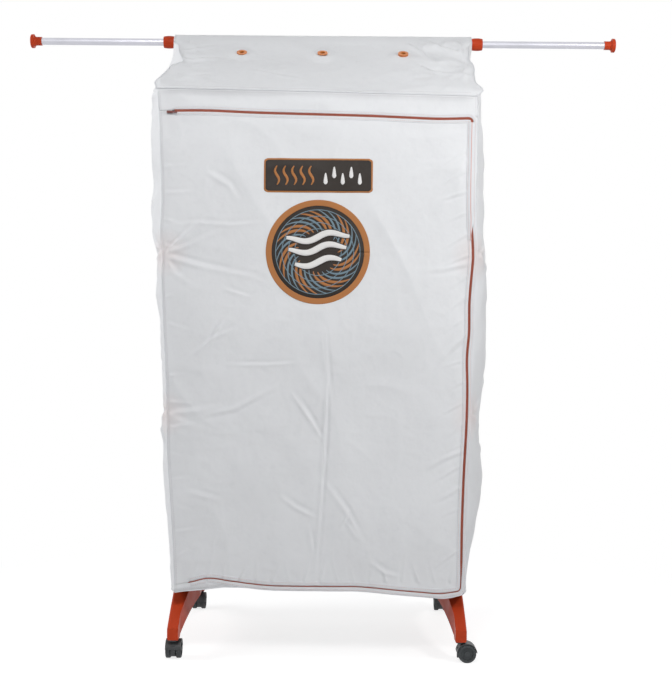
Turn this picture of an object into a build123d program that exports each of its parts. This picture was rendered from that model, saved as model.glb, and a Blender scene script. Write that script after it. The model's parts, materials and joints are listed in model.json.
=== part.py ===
"""Electric clothes drying rack: a tower of folding wings on casters, inside a zipped
fabric cover, with a warm air blower in the base and two telescopic hanging bars.

Millimetres. +X is right and +Y is the back, seen from the front; +Z is up.
The origin is on the floor, under the middle of the tower."""

import os
from math import asin, atan2, cos, degrees, hypot, radians, sin, sqrt, tan

from build123d import *

# Tower
RIDGE_Z = 1428.0  # axis of the tube that carries the roof
POST_X = 302.0  # each post from the middle
POST_D = 22.0
POST_WALL = 1.2
RIDGE_D = 25.0
RIDGE_WALL = 1.2
SOCKET_FIT = 0.15  # radial room of a tube in its socket
RUN_FIT = 0.05  # radial room of a pin that turns
GAP = 0.3  # between pieces that only lie near each other
SCREW_D = 4.0
SCREW_HEAD_D = 8.0
SCREW_HEAD_H = 3.0
SCREW_KEY_H = 1.8  # depth of the hexagon socket
SCREW_TIP_GAP = 0.1
FRONT, REAR = -1, 1

# Feet, arched plates that splay to a toe at the front and the back
FOOT_OUTER_X = 330.0
FOOT_HUB_T = 52.0  # thickness at the post
FOOT_TOE_T = 25.0  # thickness at the toe
FOOT_TOP_Z = 212.0
FOOT_ARCH_Z = 112.0  # top of the arch
FOOT_HUB_W = 104.0
FOOT_CROWN_W = 84.0  # flat top round the post
FOOT_SHOULDER_DROP = 28.0  # from the crown to the shoulders
FOOT_BROW = 9.0  # how far each leg bows up between shoulder and toe
FOOT_FLARE_Y = 30.0  # the full thickness goes this far past the shoulders
FOOT_EDGE_R = 5.0
TOE_Y = 255.0  # caster stem from the middle
TOE_Z = 45.0  # underside
TOE_LENGTH = 30.0
TOE_HEIGHT = 26.0
TOE_STRAIGHT = 10.0  # the toe keeps its thickness this far in from its inner end
POST_SEAT = 80.0  # depth of the post in the foot
BASE_TUBE_D = 16.0
BASE_TUBE_WALL = 1.2
BASE_TUBE_Y = 85.0
BASE_TUBE_Z = 165.0
BASE_TUBE_SEAT = 24.0

# Casters
WHEEL_D = 40.0
WHEEL_W = 11.0  # each wheel of the pair
CASTER_WEB = 10.0
CASTER_TRAIL = 13.0
STEM_D = 10.0
STEM_SEAT = 28.0
AXLE_D = 6.0
AXLE_BOSS = 3.0  # wall round the axle, inside the dish
WHEEL_GAP = 1.0  # between the web and each wheel
WHEEL_DISH = 3.0
TREAD_T = 6.0
TREAD_EDGE = 1.6
FENDER_T = 1.8
FENDER_GAP = 0.8
STEM_COLLAR_D = 20.0
WEB_MARGIN = 3.0  # the web ends this far inside the tread
WEB_NECK = 16.0
WEB_SHOULDER = 18.0

# Telescopic bars
BAR_D = 17.0
BAR_WALL = 1.0
BAR_OUT_X = 708.0  # knob's end, bar drawn out
BAR_OVERLAP = 58.0  # what stays in the ridge tube
BAR_FIT = 0.2
GUIDE_LENGTH = 12.0
COLLAR_D = 29.0
COLLAR_X = 386.0  # outer end
COLLAR_LIP = 3.0
COLLAR_EDGE = 1.0  # how far the barrel falls off towards each end
COLLAR_BARREL = 0.5
KNOB_LENGTH = 26.0
KNOB_D = 33.0
KNOB_NECK_D = 20.6
KNOB_NECK_L = 13.0
KNOB_HEAD_L = 7.8
KNOB_EDGE_R = 3.0
KNOB_END_T = 8.0
TEE_WALL = 2.4
TEE_LENGTH = 44.0
TEE_DROP = 56.0
TEE_SCREW_DOWN = 39.0

# Tiers of wings
TIER_LOW_Z = 540.0
TIER_TOP_DOWN = 172.0  # from the ridge axis to the top tier
PIVOT_Y = 30.0
PIVOT_D = 10.0
HUB_WALL = 5.0
HUB_W = 84.0
HUB_H = 40.0
HUB_R = 14.0
HUB_RIB = 3.0
PIN_HEAD_H = 1.5
PIN_HEAD_LAP = 2.0
TIP_LAP = 1.0  # the arm's round tip stands out above and below the arm
CORE_WEB = 2.0  # floor under the arm's cored-out face
ARM_T = 15.0
ARM_H = 14.0
ARM_RIM = 3.0
EYE_D = 26.0
WING_REACH = 184.0  # pivot to the front rail
FIRST_ROD = 44.0
ROD_COUNT = 4
ROD_D = 5.0
RAIL_D = 10.0
RAIL_WALL = 1.2
ROD_SEAT = 8.0

# Cover
SHEET_T = 2.0
COVER_TOP_X = 358.0  # half width at the eaves
COVER_FOOT_X = 326.0  # half width at the hem
WING_CLEAR = 18.0  # from each front rail to the cover's wall
EAVES_DOWN = 162.0  # from the ridge axis
BAND_H = 50.0  # from the eaves to the left end of the zip
ZIP_FALL = 12.0  # how much lower the zip's top run ends at the right
HEM_Z = 152.0
HEM_STRIP_H = 18.0
STILE_TOP_W = 18.0
STILE_FOOT_W = 6.0
ZIP_W = 6.0
ZIP_T = 1.2
SLIDER_L = 14.0
SLIDER_T = 3.0
SLIDER_R = 2.0
PULL_L = 20.0
PULL_W = 3.6
PULL_T = 1.5
EYELET_D = 24.0
EYELET_HOLE_D = 12.0
EYELET_T = 1.4
EYELET_DOWN = 105.0  # down the slope from the ridge
EYELET_PITCH = 190.0
GABLE_SWELL = 1.0
ROOF_PART = 0.02  # turn between each slope's top edge and the ridge line, in radians
# How far each wall stands out between its edges, from the hem up
LEFT_FOLDS = (
    (0.0, 12.0), (0.16, 24.0), (0.29, 27.0), (0.35, 26.0), (0.5, 30.0), (0.67, 27.0), (0.76, 41.0),
    (0.94, 38.0), (1.0, 1.0)
)
RIGHT_FOLDS = (
    (0.0, 16.0), (0.05, 19.0), (0.16, 45.0), (0.25, 44.0), (0.34, 36.0), (0.43, 47.0), (0.52, 51.0),
    (0.67, 37.0), (0.88, 22.0), (0.96, 10.0), (1.0, 1.0)
)
BACK_FOLDS = (
    (0.0, 6.0), (0.2, 16.0), (0.35, 5.0), (0.5, 15.0), (0.67, 4.0), (0.84, 13.0), (1.0, 1.0)
)
DOOR_FOLDS = (
    (0.0, 1.0), (0.17, 8.0), (0.35, 3.0), (0.5, 9.0), (0.69, 2.5), (0.85, 8.0), (1.0, 1.0)
)

# Blower
BLOWER_X = 300.0
BLOWER_Y = 240.0
BLOWER_WALL = 2.5
BLOWER_R = 22.0
HOUSING_EDGE_R = 8.0
BLOWER_FOOT_Z = 176.0
BLOWER_SPLIT_Z = 220.0
BLOWER_TOP_Z = 284.0
DECK_Z = 246.0
FAN_D = 148.0
FAN_HUB_D = 44.0
FAN_H = 16.0
FAN_LIFT = 4.0  # over the joint between tray and housing
FAN_BORE_H = 12.8
FAN_HUB_R = 4.0
BLADE_ROOT = 2.0  # how deep each blade is rooted in the hub
FAN_BLADES = 7
INTAKE_D = 156.0
OUTLET_X = 190.0
OUTLET_Y = 150.0
MOTOR_D = 56.0
SHAFT_D = 6.0
HEATER_X = 170.0
HEATER_Y = 130.0
HEATER_H = 20.0
HEATER_FINS = 9
HEATER_FIN_T = 1.6
HEATER_FIN_IN = 2.0  # the fins end this far inside the frame's faces
HEATER_FRAME = 4.0
MOTOR_H = 36.0
MOTOR_EDGE_R = 4.0
MOTOR_BOSS_D = 20.0
MOTOR_BOSS_H = 2.0
FAN_BLADE_W = 34.0
FAN_BLADE_T = 2.0
FAN_PITCH = 24.0
DUCT_GAP = 3.0
GRILLE_T = 2.5
INTAKE_SLOTS = 20
INTAKE_SLOT_R = 55.0  # middle of each slot from the shaft
INTAKE_SLOT_L = 32.0
INTAKE_SLOT_W = 5.0
INTAKE_LAP = 6.0  # the grille lies this far over the tray's floor
MOTOR_CUP_WALL = 3.0
MOTOR_CUP_H = 8.0
OUTLET_ROWS = 10
OUTLET_SLOT_W = 8.0
OUTLET_BAR = 10.0  # between slots that end at the same rib
OUTLET_LAP = 6.0
OUTLET_R = 8.0
SADDLE_X = 110.0
SADDLE_T = 16.0
SADDLE_WALL = 4.0
INLET_X = 96.0
INLET_D = 22.0
INLET_DEPTH = 14.0
INLET_FLANGE_T = 2.0
INLET_LAP = 3.0
INLET_BORE = 14.0
PIN_PITCH = 6.0
PIN_D = 2.4
PIN_L = 8.4
TIMER_X = -64.0
TIMER_D = 36.0
TIMER_H = 14.0
TIMER_SKIRT_T = 4.0
TIMER_GRIP_D = 27.4
TIMER_FLUTES = 12
TIMER_FLUTE_R = 1.6
TIMER_LINE_W = 2.0
TIMER_LINE_H = 0.6
TIMER_SHAFT_D = 8.0
SWITCH_X = 46.0
ROCKER_T = 4.0
ROCKER_PIN_WALL = 1.0
ROCKER_PIN_D = 1.6
ROCKER_PIN_L = 2.2
SWITCH_W = 20.0
SWITCH_H = 14.0
SWITCH_TILT = 8.0
PANEL_Z = 264.0

tier_top_z = RIDGE_Z - TIER_TOP_DOWN
TIERS = {"low": TIER_LOW_Z, "mid": (TIER_LOW_Z + tier_top_z) / 2, "top": tier_top_z}
COVER_Y = PIVOT_Y + WING_REACH + WING_CLEAR  # half depth
EAVES_Z = RIDGE_Z - EAVES_DOWN
DOOR_TOP_Z = EAVES_Z - BAND_H
DOOR_FOOT_Z = HEM_Z + HEM_STRIP_H

os.makedirs("parts", exist_ok=True)


def keep(part, name):
    part.label = name
    export_step(part, f"parts/{name}.step")


def keep_pair(right, name):
    """Writes a right-hand piece and its mirror image on the left."""
    keep(right, f"{name}_right")
    keep(mirror(right, about=Plane.YZ), f"{name}_left")


def tube(plane, diameter, wall, length):
    with BuildPart() as piece:
        with BuildSketch(plane):
            Circle(diameter / 2)
            Circle(diameter / 2 - wall, mode=Mode.SUBTRACT)
        extrude(amount=length)
    return piece.part


ridge_axis = Axis((0, 0, RIDGE_Z), (1, 0, 0))
foot_screw_z = FOOT_TOP_Z - POST_SEAT / 4
tee_inner_x = POST_X - POST_D / 2 - SOCKET_FIT - TEE_WALL
tee_screw_z = RIDGE_Z - TEE_SCREW_DOWN

# Feet: one arch each, thick at the post and thin at the toes
foot_inner_x = FOOT_OUTER_X - FOOT_HUB_T
toe_in = TOE_Y - TOE_LENGTH / 2
toe_out = TOE_Y + TOE_LENGTH / 2
toe_x = FOOT_OUTER_X - FOOT_TOE_T / 2
shoulder_z = FOOT_TOP_Z - FOOT_SHOULDER_DROP
hub_half = FOOT_HUB_W / 2
thin_x = FOOT_OUTER_X - FOOT_TOE_T

with BuildPart() as foot:
    with BuildSketch(Plane.YZ.offset(foot_inner_x)):
        with BuildLine():
            ThreePointArc((toe_in, TOE_Z), (0, FOOT_ARCH_Z), (-toe_in, TOE_Z))
            for side in (1, -1):
                toe_top = (side * toe_out, TOE_Z + TOE_HEIGHT)
                shoulder = (side * hub_half, shoulder_z)
                brow = (side * (toe_out + hub_half) / 2, (toe_top[1] + shoulder_z) / 2 + FOOT_BROW)
                Line((side * toe_in, TOE_Z), (side * toe_out, TOE_Z))
                Line((side * toe_out, TOE_Z), toe_top)
                ThreePointArc(toe_top, brow, shoulder)
                Line(shoulder, (side * FOOT_CROWN_W / 2, FOOT_TOP_Z))
            Line((FOOT_CROWN_W / 2, FOOT_TOP_Z), (-FOOT_CROWN_W / 2, FOOT_TOP_Z))
        make_face()
    extrude(amount=FOOT_HUB_T)
    fillet(foot.faces().sort_by(Axis.X)[-1].edges(), radius=FOOT_EDGE_R)
    # The inner side is cut away on a slant, from the hub out to the thin toes
    with BuildSketch(Plane.XY.offset(TOE_Z - 1)):
        for side in (1, -1):
            with BuildLine():
                Polyline(
                    (foot_inner_x, side * (hub_half + FOOT_FLARE_Y)),
                    (thin_x, side * (toe_in - TOE_STRAIGHT)),
                    (thin_x, side * (toe_out + 1)),
                    (foot_inner_x - 1, side * (toe_out + 1)),
                    (foot_inner_x - 1, side * (hub_half + FOOT_FLARE_Y)),
                    close=True,
                )
            make_face()
    extrude(amount=FOOT_TOP_Z - TOE_Z + 2, mode=Mode.SUBTRACT)
    with BuildSketch(Plane.XY.offset(FOOT_TOP_Z)):
        with Locations((POST_X, 0)):
            Circle(POST_D / 2 + SOCKET_FIT)
    extrude(amount=-POST_SEAT, mode=Mode.SUBTRACT)
    with BuildSketch(Plane.YZ.offset(foot_inner_x)):
        with Locations((BASE_TUBE_Y, BASE_TUBE_Z), (-BASE_TUBE_Y, BASE_TUBE_Z)):
            Circle(BASE_TUBE_D / 2 + SOCKET_FIT)
    extrude(amount=BASE_TUBE_SEAT, mode=Mode.SUBTRACT)
    with BuildSketch(Plane.XY.offset(TOE_Z)):
        with Locations((toe_x, TOE_Y), (toe_x, -TOE_Y)):
            Circle(STEM_D / 2 + RUN_FIT)
    extrude(amount=STEM_SEAT, mode=Mode.SUBTRACT)
    # The screw that holds the post goes in from the inner face
    with BuildSketch(Plane.YZ.offset(foot_inner_x)):
        with Locations((0, foot_screw_z)):
            Circle(SCREW_D / 2 + SOCKET_FIT)
    extrude(amount=POST_X - POST_D / 2 - foot_inner_x, mode=Mode.SUBTRACT)
keep_pair(foot.part, "foot")

for side, name in ((FRONT, "front"), (REAR, "rear")):
    reach = foot_inner_x + BASE_TUBE_SEAT - GAP
    start = Plane((-reach, side * BASE_TUBE_Y, BASE_TUBE_Z), x_dir=(0, 1, 0), z_dir=(1, 0, 0))
    keep(tube(start, BASE_TUBE_D, BASE_TUBE_WALL, 2 * reach), f"base_tube_{name}")

# Posts, and the tees that join them to the ridge tube
post_foot_z = FOOT_TOP_Z - POST_SEAT
post_top_z = RIDGE_Z - RIDGE_D / 2 - SOCKET_FIT - TEE_WALL
post = tube(Plane((POST_X, 0, post_foot_z)), POST_D, POST_WALL, post_top_z - post_foot_z)
keep_pair(post, "post")

with BuildPart() as tee:
    with BuildSketch(Plane.YZ.offset(POST_X - TEE_LENGTH / 2)):
        with Locations((0, RIDGE_Z)):
            Circle(RIDGE_D / 2 + SOCKET_FIT + TEE_WALL)
    extrude(amount=TEE_LENGTH)
    with BuildSketch(Plane((POST_X, 0, RIDGE_Z - TEE_DROP))):
        Circle(POST_D / 2 + SOCKET_FIT + TEE_WALL)
    extrude(amount=TEE_DROP)
    with BuildSketch(Plane((POST_X, 0, post_top_z))):
        Circle(POST_D / 2 + SOCKET_FIT)
    extrude(amount=-TEE_DROP, mode=Mode.SUBTRACT)
    with BuildSketch(Plane.YZ.offset(POST_X - TEE_LENGTH / 2)):
        with Locations((0, RIDGE_Z)):
            Circle(RIDGE_D / 2 + SOCKET_FIT)
    extrude(amount=TEE_LENGTH, mode=Mode.SUBTRACT)
    with BuildSketch(Plane.YZ.offset(tee_inner_x)):
        with Locations((0, tee_screw_z)):
            Circle(SCREW_D / 2 + SOCKET_FIT)
    extrude(amount=POST_X - tee_inner_x, mode=Mode.SUBTRACT)
    mirror(about=Plane.YZ)
keep(tee.part, "ridge_tees")

ridge_half = COLLAR_X - COLLAR_LIP
ridge_start = Plane((-ridge_half, 0, RIDGE_Z), x_dir=(0, 1, 0), z_dir=(1, 0, 0))
keep(tube(ridge_start, RIDGE_D, RIDGE_WALL, 2 * ridge_half), "ridge_tube")

# Barrel collars that close the ridge tube and guide the bars
collar_in_x = COVER_TOP_X + GABLE_SWELL + GAP
with BuildPart() as collar:
    with BuildSketch(Plane.XZ):
        with BuildLine():
            bore = RIDGE_D / 2 + SOCKET_FIT
            lip = BAR_D / 2 + BAR_FIT
            rim = COLLAR_D / 2 - COLLAR_EDGE
            Polyline(
                (COLLAR_X, RIDGE_Z + rim),
                (COLLAR_X, RIDGE_Z + lip),
                (ridge_half, RIDGE_Z + lip),
                (ridge_half, RIDGE_Z + bore),
                (collar_in_x, RIDGE_Z + bore),
                (collar_in_x, RIDGE_Z + rim),
            )
            ThreePointArc(
                (collar_in_x, RIDGE_Z + rim),
                ((collar_in_x + COLLAR_X) / 2, RIDGE_Z + COLLAR_D / 2 + COLLAR_BARREL),
                (COLLAR_X, RIDGE_Z + rim),
            )
        make_face()
    revolve(axis=ridge_axis)
keep_pair(collar.part, "ridge_collar")

# Bars, with a guide ring crimped on the end that stays in the ridge tube
bar_in_x = COLLAR_X - BAR_OVERLAP
bar_end_x = BAR_OUT_X - KNOB_END_T
with BuildPart() as bar:
    with BuildSketch(Plane.YZ.offset(bar_in_x)):
        with Locations((0, RIDGE_Z)):
            Circle(BAR_D / 2)
    extrude(amount=bar_end_x - bar_in_x)
    with BuildSketch(Plane.YZ.offset(bar_in_x)):
        with Locations((0, RIDGE_Z)):
            Circle(RIDGE_D / 2 - RIDGE_WALL - BAR_FIT)
    extrude(amount=GUIDE_LENGTH)
    with BuildSketch(Plane.YZ.offset(bar_in_x)):
        with Locations((0, RIDGE_Z)):
            Circle(BAR_D / 2 - BAR_WALL)
    extrude(amount=bar_end_x - bar_in_x, mode=Mode.SUBTRACT)
keep_pair(bar.part, "bar")

knob_in_x = BAR_OUT_X - KNOB_LENGTH
with BuildPart() as knob:
    with BuildSketch(Plane.XZ):
        with BuildLine():
            neck = RIDGE_Z + KNOB_NECK_D / 2
            flare = RIDGE_Z + KNOB_D / 2
            bore = RIDGE_Z + BAR_D / 2 + SOCKET_FIT
            waist_x = knob_in_x + KNOB_NECK_L
            rim_x = BAR_OUT_X - KNOB_HEAD_L
            Polyline(
                (BAR_OUT_X, RIDGE_Z),
                (bar_end_x, RIDGE_Z),
                (bar_end_x, bore),
                (knob_in_x, bore),
                (knob_in_x, neck),
                (waist_x, neck),
            )
            ThreePointArc(
                (waist_x, neck),
                (waist_x + (rim_x - waist_x) * 0.7, neck + (flare - neck) * 0.4),
                (rim_x, flare),
            )
            Line((rim_x, flare), (BAR_OUT_X - KNOB_EDGE_R, flare))
            RadiusArc((BAR_OUT_X - KNOB_EDGE_R, flare), (BAR_OUT_X, flare - KNOB_EDGE_R), KNOB_EDGE_R)
            Line((BAR_OUT_X, flare - KNOB_EDGE_R), (BAR_OUT_X, RIDGE_Z))
        make_face()
    revolve(axis=ridge_axis)
keep_pair(knob.part, "bar_knob")

# Tier hubs: a sleeve on the post with a hinge pin for each wing
hub_in_x = POST_X - POST_D / 2 - HUB_WALL
hub_out_x = POST_X + POST_D / 2 + HUB_WALL
arm_in_x = hub_out_x + 2 * GAP
arm_out_x = arm_in_x + ARM_T


def tier_hub(z):
    with BuildPart() as hub:
        with BuildSketch(Plane.YZ.offset(hub_in_x)):
            with Locations((0, z)):
                RectangleRounded(HUB_W, HUB_H, HUB_R)
        extrude(amount=hub_out_x - hub_in_x)
        with BuildSketch(Plane.YZ.offset(hub_out_x)):
            with Locations((PIVOT_Y, z), (-PIVOT_Y, z)):
                Circle(PIVOT_D / 2)
        extrude(amount=ARM_T + 3 * GAP)
        with BuildSketch(Plane.YZ.offset(arm_out_x + GAP)):
            with Locations((PIVOT_Y, z), (-PIVOT_Y, z)):
                Circle(PIVOT_D / 2 + PIN_HEAD_LAP)
        extrude(amount=PIN_HEAD_H)
        with BuildSketch(Plane((POST_X, 0, z - HUB_H))):
            Circle(POST_D / 2 + SOCKET_FIT)
        extrude(amount=2 * HUB_H, mode=Mode.SUBTRACT)
        with BuildSketch(Plane.YZ.offset(hub_in_x)):
            with Locations((0, z)):
                Circle(SCREW_D / 2 + SOCKET_FIT)
            # Cored pockets beside the sleeve
            with Locations((PIVOT_Y, z), (-PIVOT_Y, z)):
                Rectangle(HUB_W / 2 - POST_D / 2 - 3 * HUB_RIB, HUB_H - 4 * HUB_RIB)
        extrude(amount=HUB_WALL, mode=Mode.SUBTRACT)
    return hub.part


for tier, z in TIERS.items():
    keep_pair(tier_hub(z), f"tier_hub_{tier}")

# Socket screws that clamp the feet, hubs and tees to the posts
screw_seats = [(foot_inner_x, foot_screw_z), (tee_inner_x, tee_screw_z)]
screw_seats += [(hub_in_x, z) for z in TIERS.values()]
with BuildPart() as screws:
    for seat_x, z in screw_seats:
        with BuildSketch(Plane.YZ.offset(seat_x - SCREW_HEAD_H)):
            with Locations((0, z)):
                Circle(SCREW_HEAD_D / 2)
        extrude(amount=SCREW_HEAD_H)
        with BuildSketch(Plane.YZ.offset(seat_x)):
            with Locations((0, z)):
                Circle(SCREW_D / 2)
        extrude(amount=POST_X - POST_D / 2 - seat_x - SCREW_TIP_GAP)
        with BuildSketch(Plane.YZ.offset(seat_x - SCREW_HEAD_H)):
            with Locations((0, z)):
                RegularPolygon(SCREW_D / 2, 6)
        extrude(amount=SCREW_KEY_H, mode=Mode.SUBTRACT)
    mirror(about=Plane.YZ)
keep(screws.part, "frame_screws")

# Wings: two moulded arms, thin rods and a thicker front rail, level when open
rod_steps = [FIRST_ROD + (WING_REACH - FIRST_ROD) * i / ROD_COUNT for i in range(ROD_COUNT)]
rod_half = arm_in_x + ROD_SEAT


def wing_arms(z, side):
    pivot = side * PIVOT_Y
    with BuildPart() as arms:
        with BuildSketch(Plane.YZ.offset(arm_in_x)):
            with Locations((pivot, z)):
                Circle(EYE_D / 2)
            with Locations((pivot + side * WING_REACH / 2, z)):
                Rectangle(WING_REACH, ARM_H)
            with Locations((pivot + side * WING_REACH, z)):
                Circle(ARM_H / 2 + TIP_LAP)
        extrude(amount=ARM_T)
        # The outer face is cored out between the eye and the tip
        with BuildSketch(Plane.YZ.offset(arm_out_x)):
            with Locations((pivot + side * (EYE_D / 2 + WING_REACH - ARM_H) / 2, z)):
                Rectangle(WING_REACH - EYE_D / 2 - ARM_H - 2 * ARM_RIM, ARM_H - 2 * ARM_RIM)
        extrude(amount=-(ARM_T - ROD_SEAT - CORE_WEB), mode=Mode.SUBTRACT)
        with BuildSketch(Plane.YZ.offset(arm_in_x)):
            with Locations((pivot, z)):
                Circle(PIVOT_D / 2 + RUN_FIT)
        extrude(amount=ARM_T, mode=Mode.SUBTRACT)
        with BuildSketch(Plane.YZ.offset(arm_in_x)):
            with Locations([(pivot + side * step, z) for step in rod_steps]):
                Circle(ROD_D / 2 + SOCKET_FIT)
            with Locations((pivot + side * WING_REACH, z)):
                Circle(RAIL_D / 2 + SOCKET_FIT)
        extrude(amount=ROD_SEAT, mode=Mode.SUBTRACT)
        mirror(about=Plane.YZ)
    return arms.part


def wing_rods(z, side):
    with BuildPart() as rods:
        with BuildSketch(Plane.YZ.offset(-rod_half)):
            with Locations([(side * (PIVOT_Y + step), z) for step in rod_steps]):
                Circle(ROD_D / 2)
            with Locations((side * (PIVOT_Y + WING_REACH), z)):
                Circle(RAIL_D / 2)
                Circle(RAIL_D / 2 - RAIL_WALL, mode=Mode.SUBTRACT)
        extrude(amount=2 * rod_half)
    return rods.part


for tier, z in TIERS.items():
    for side, name in ((FRONT, "front"), (REAR, "rear")):
        keep(wing_arms(z, side), f"wing_{tier}_{name}_arms")
        keep(wing_rods(z, side), f"wing_{tier}_{name}_rods")

# Casters: a stem and fender that swivel in the toe, and a pair of wheels on one axle
fender_r = WHEEL_D / 2 + FENDER_GAP
caster_half_w = CASTER_WEB / 2 + WHEEL_GAP + WHEEL_W


def caster_plane(x, y, heading):
    """A plane under the stem, with its X axis along the trail."""
    trail = (cos(radians(heading)), sin(radians(heading)), 0)
    return Plane((x, y, 0), x_dir=trail, z_dir=(0, 0, 1))


def caster_fork(base):
    side_view = Plane(base.origin, x_dir=base.x_dir, z_dir=base.x_dir.cross(Vector(0, 0, 1)))
    hood_top = WHEEL_D / 2 + fender_r + FENDER_T
    with BuildPart() as fork:
        with BuildSketch(side_view):
            with Locations((CASTER_TRAIL, WHEEL_D / 2)):
                Circle(WHEEL_D / 2 - WEB_MARGIN)
            with Locations((0, (WHEEL_D + hood_top) / 4)):
                Rectangle(WEB_NECK, hood_top - WHEEL_D / 2)
        extrude(amount=CASTER_WEB / 2, both=True)
        with BuildSketch(side_view):
            with Locations((CASTER_TRAIL, WHEEL_D / 2)):
                Circle(fender_r + FENDER_T)
                Circle(fender_r, mode=Mode.SUBTRACT)
            with Locations((CASTER_TRAIL, WHEEL_D / 2 - fender_r)):
                Rectangle(3 * fender_r, 2.2 * fender_r, mode=Mode.SUBTRACT)
        extrude(amount=caster_half_w, both=True)
        with BuildSketch(side_view):
            with Locations((CASTER_TRAIL * 0.6, WHEEL_D * 0.75)):
                Rectangle(WEB_SHOULDER, WHEEL_D / 2)
        extrude(amount=CASTER_WEB / 2, both=True)
        with BuildSketch(base.offset(hood_top - FENDER_T)):
            Circle(STEM_COLLAR_D / 2)
        extrude(amount=TOE_Z - GAP - hood_top + FENDER_T)
        with BuildSketch(base.offset(hood_top - FENDER_T)):
            Circle(STEM_D / 2)
        extrude(amount=TOE_Z - hood_top + FENDER_T + STEM_SEAT - GAP)
        with BuildSketch(side_view):
            with Locations((CASTER_TRAIL, WHEEL_D / 2)):
                Circle(AXLE_D / 2 + RUN_FIT)
        extrude(amount=CASTER_WEB, both=True, mode=Mode.SUBTRACT)
    return fork.part


def caster_wheels(base):
    side_view = Plane(base.origin, x_dir=base.x_dir, z_dir=base.x_dir.cross(Vector(0, 0, 1)))
    wheel_in = CASTER_WEB / 2 + WHEEL_GAP
    with BuildPart() as wheels:
        for side in (1, -1):
            with BuildSketch(side_view.offset(side * wheel_in)):
                with Locations((CASTER_TRAIL, WHEEL_D / 2)):
                    Circle(WHEEL_D / 2)
            extrude(amount=side * WHEEL_W)
        chamfer(wheels.edges().filter_by(GeomType.CIRCLE), length=TREAD_EDGE)
        with BuildSketch(side_view.offset(-caster_half_w)):
            with Locations((CASTER_TRAIL, WHEEL_D / 2)):
                Circle(AXLE_D / 2)
        extrude(amount=2 * caster_half_w)
        for side in (1, -1):
            with BuildSketch(side_view.offset(side * caster_half_w)):
                with Locations((CASTER_TRAIL, WHEEL_D / 2)):
                    Circle(WHEEL_D / 2 - TREAD_T)
                    Circle(AXLE_D / 2 + AXLE_BOSS, mode=Mode.SUBTRACT)
            extrude(amount=-side * WHEEL_DISH, mode=Mode.SUBTRACT)
    return wheels.part


# Where each caster trails, in degrees from +X
CASTERS = {
    "front_left": (-toe_x, -TOE_Y, 90),
    "front_right": (toe_x, -TOE_Y, 0),
    "rear_left": (-toe_x, TOE_Y, -90),
    "rear_right": (toe_x, TOE_Y, -90),
}
for name, (x, y, heading) in CASTERS.items():
    keep(caster_fork(caster_plane(x, y, heading)), f"caster_{name}_fork")
    keep(caster_wheels(caster_plane(x, y, heading)), f"caster_{name}_wheels")

# Cover: sewn walls that hang from the roof, each lofted between its two edges
def cover_x(z):
    """Half width of the cover at a height."""
    return COVER_FOOT_X + (COVER_TOP_X - COVER_FOOT_X) * (z - HEM_Z) / (EAVES_Z - HEM_Z)


def zip_x(z):
    """The zip's right-hand run, where the door ends and the stile begins."""
    share = (z - HEM_Z) / (EAVES_Z - HEM_Z)
    return cover_x(z) - STILE_FOOT_W - (STILE_TOP_W - STILE_FOOT_W) * share


def zip_top(x, above=0.0):
    """A point on the zip's top run, which falls to the right, or that far above the run."""
    return (x, DOOR_TOP_Z + above - ZIP_FALL * (x + COVER_TOP_X) / (2 * COVER_TOP_X))


def hanging_wall(heights, edges, outward):
    """A sheet lofted through the heights; edges gives its two ends at a height."""
    with BuildPart() as sheet:
        for z, swell in heights:
            start, end = (Vector(*point) for point in edges(z))
            middle = (start + end) / 2
            inward = outward * -SHEET_T
            with BuildSketch(Plane.XY.offset(z)):
                with BuildLine():
                    ThreePointArc(start, middle + outward * swell, end)
                    Line(end, end + inward)
                    ThreePointArc(end + inward, middle + outward * swell + inward, start + inward)
                    Line(start + inward, start)
                make_face()
        loft(ruled=True)
    return sheet.part


def fold_heights(folds, foot_z, top_z):
    return [(foot_z + share * (top_z - foot_z), swell) for share, swell in folds]


# Roof slope: tangent to a round over the ridge, down to the top of the walls
ridge_r = RIDGE_D / 2 + SOCKET_FIT + TEE_WALL + GAP
eaves_drop = RIDGE_Z - EAVES_Z - GAP
slope = atan2(eaves_drop, COVER_Y) + asin(ridge_r / hypot(eaves_drop, COVER_Y))
slope_length = sqrt(hypot(eaves_drop, COVER_Y) ** 2 - ridge_r**2)


def over_ridge(radius, turn):
    """A point on the round over the ridge, turned down towards the back."""
    return Vector(radius * sin(turn), RIDGE_Z + radius * cos(turn))


def roof_depth(z):
    """Half depth under the roof at a height."""
    return (RIDGE_Z + ridge_r / cos(slope) - z) / tan(slope)


side_depth = COVER_Y - SHEET_T - GAP
gable_top_z = RIDGE_Z + RIDGE_D / 4


def side_wall(folds):
    def edges(z):
        return (cover_x(z), -side_depth), (cover_x(z), side_depth)

    def gable_edges(z):
        depth = min(side_depth, roof_depth(z) - 2 * GAP)
        return (COVER_TOP_X, -depth), (COVER_TOP_X, depth)

    with BuildPart() as wall:
        add(hanging_wall(fold_heights(folds, HEM_Z, EAVES_Z), edges, Vector(1, 0)))
        add(hanging_wall([(EAVES_Z, GABLE_SWELL), (gable_top_z, GABLE_SWELL)], gable_edges, Vector(1, 0)))
        with BuildSketch(Plane.YZ.offset(COVER_TOP_X - 2 * SHEET_T)):
            with Locations((0, RIDGE_Z)):
                Circle(RIDGE_D / 2 + GAP)
        extrude(amount=4 * SHEET_T, mode=Mode.SUBTRACT)
    return wall.part


keep(side_wall(RIGHT_FOLDS), "cover_side_right")
keep(mirror(side_wall(LEFT_FOLDS), about=Plane.YZ), "cover_side_left")

back = hanging_wall(
    fold_heights(BACK_FOLDS, HEM_Z, EAVES_Z),
    lambda z: ((-cover_x(z), COVER_Y), (cover_x(z), COVER_Y)),
    Vector(0, 1),
)
keep(back, "cover_back")

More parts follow.
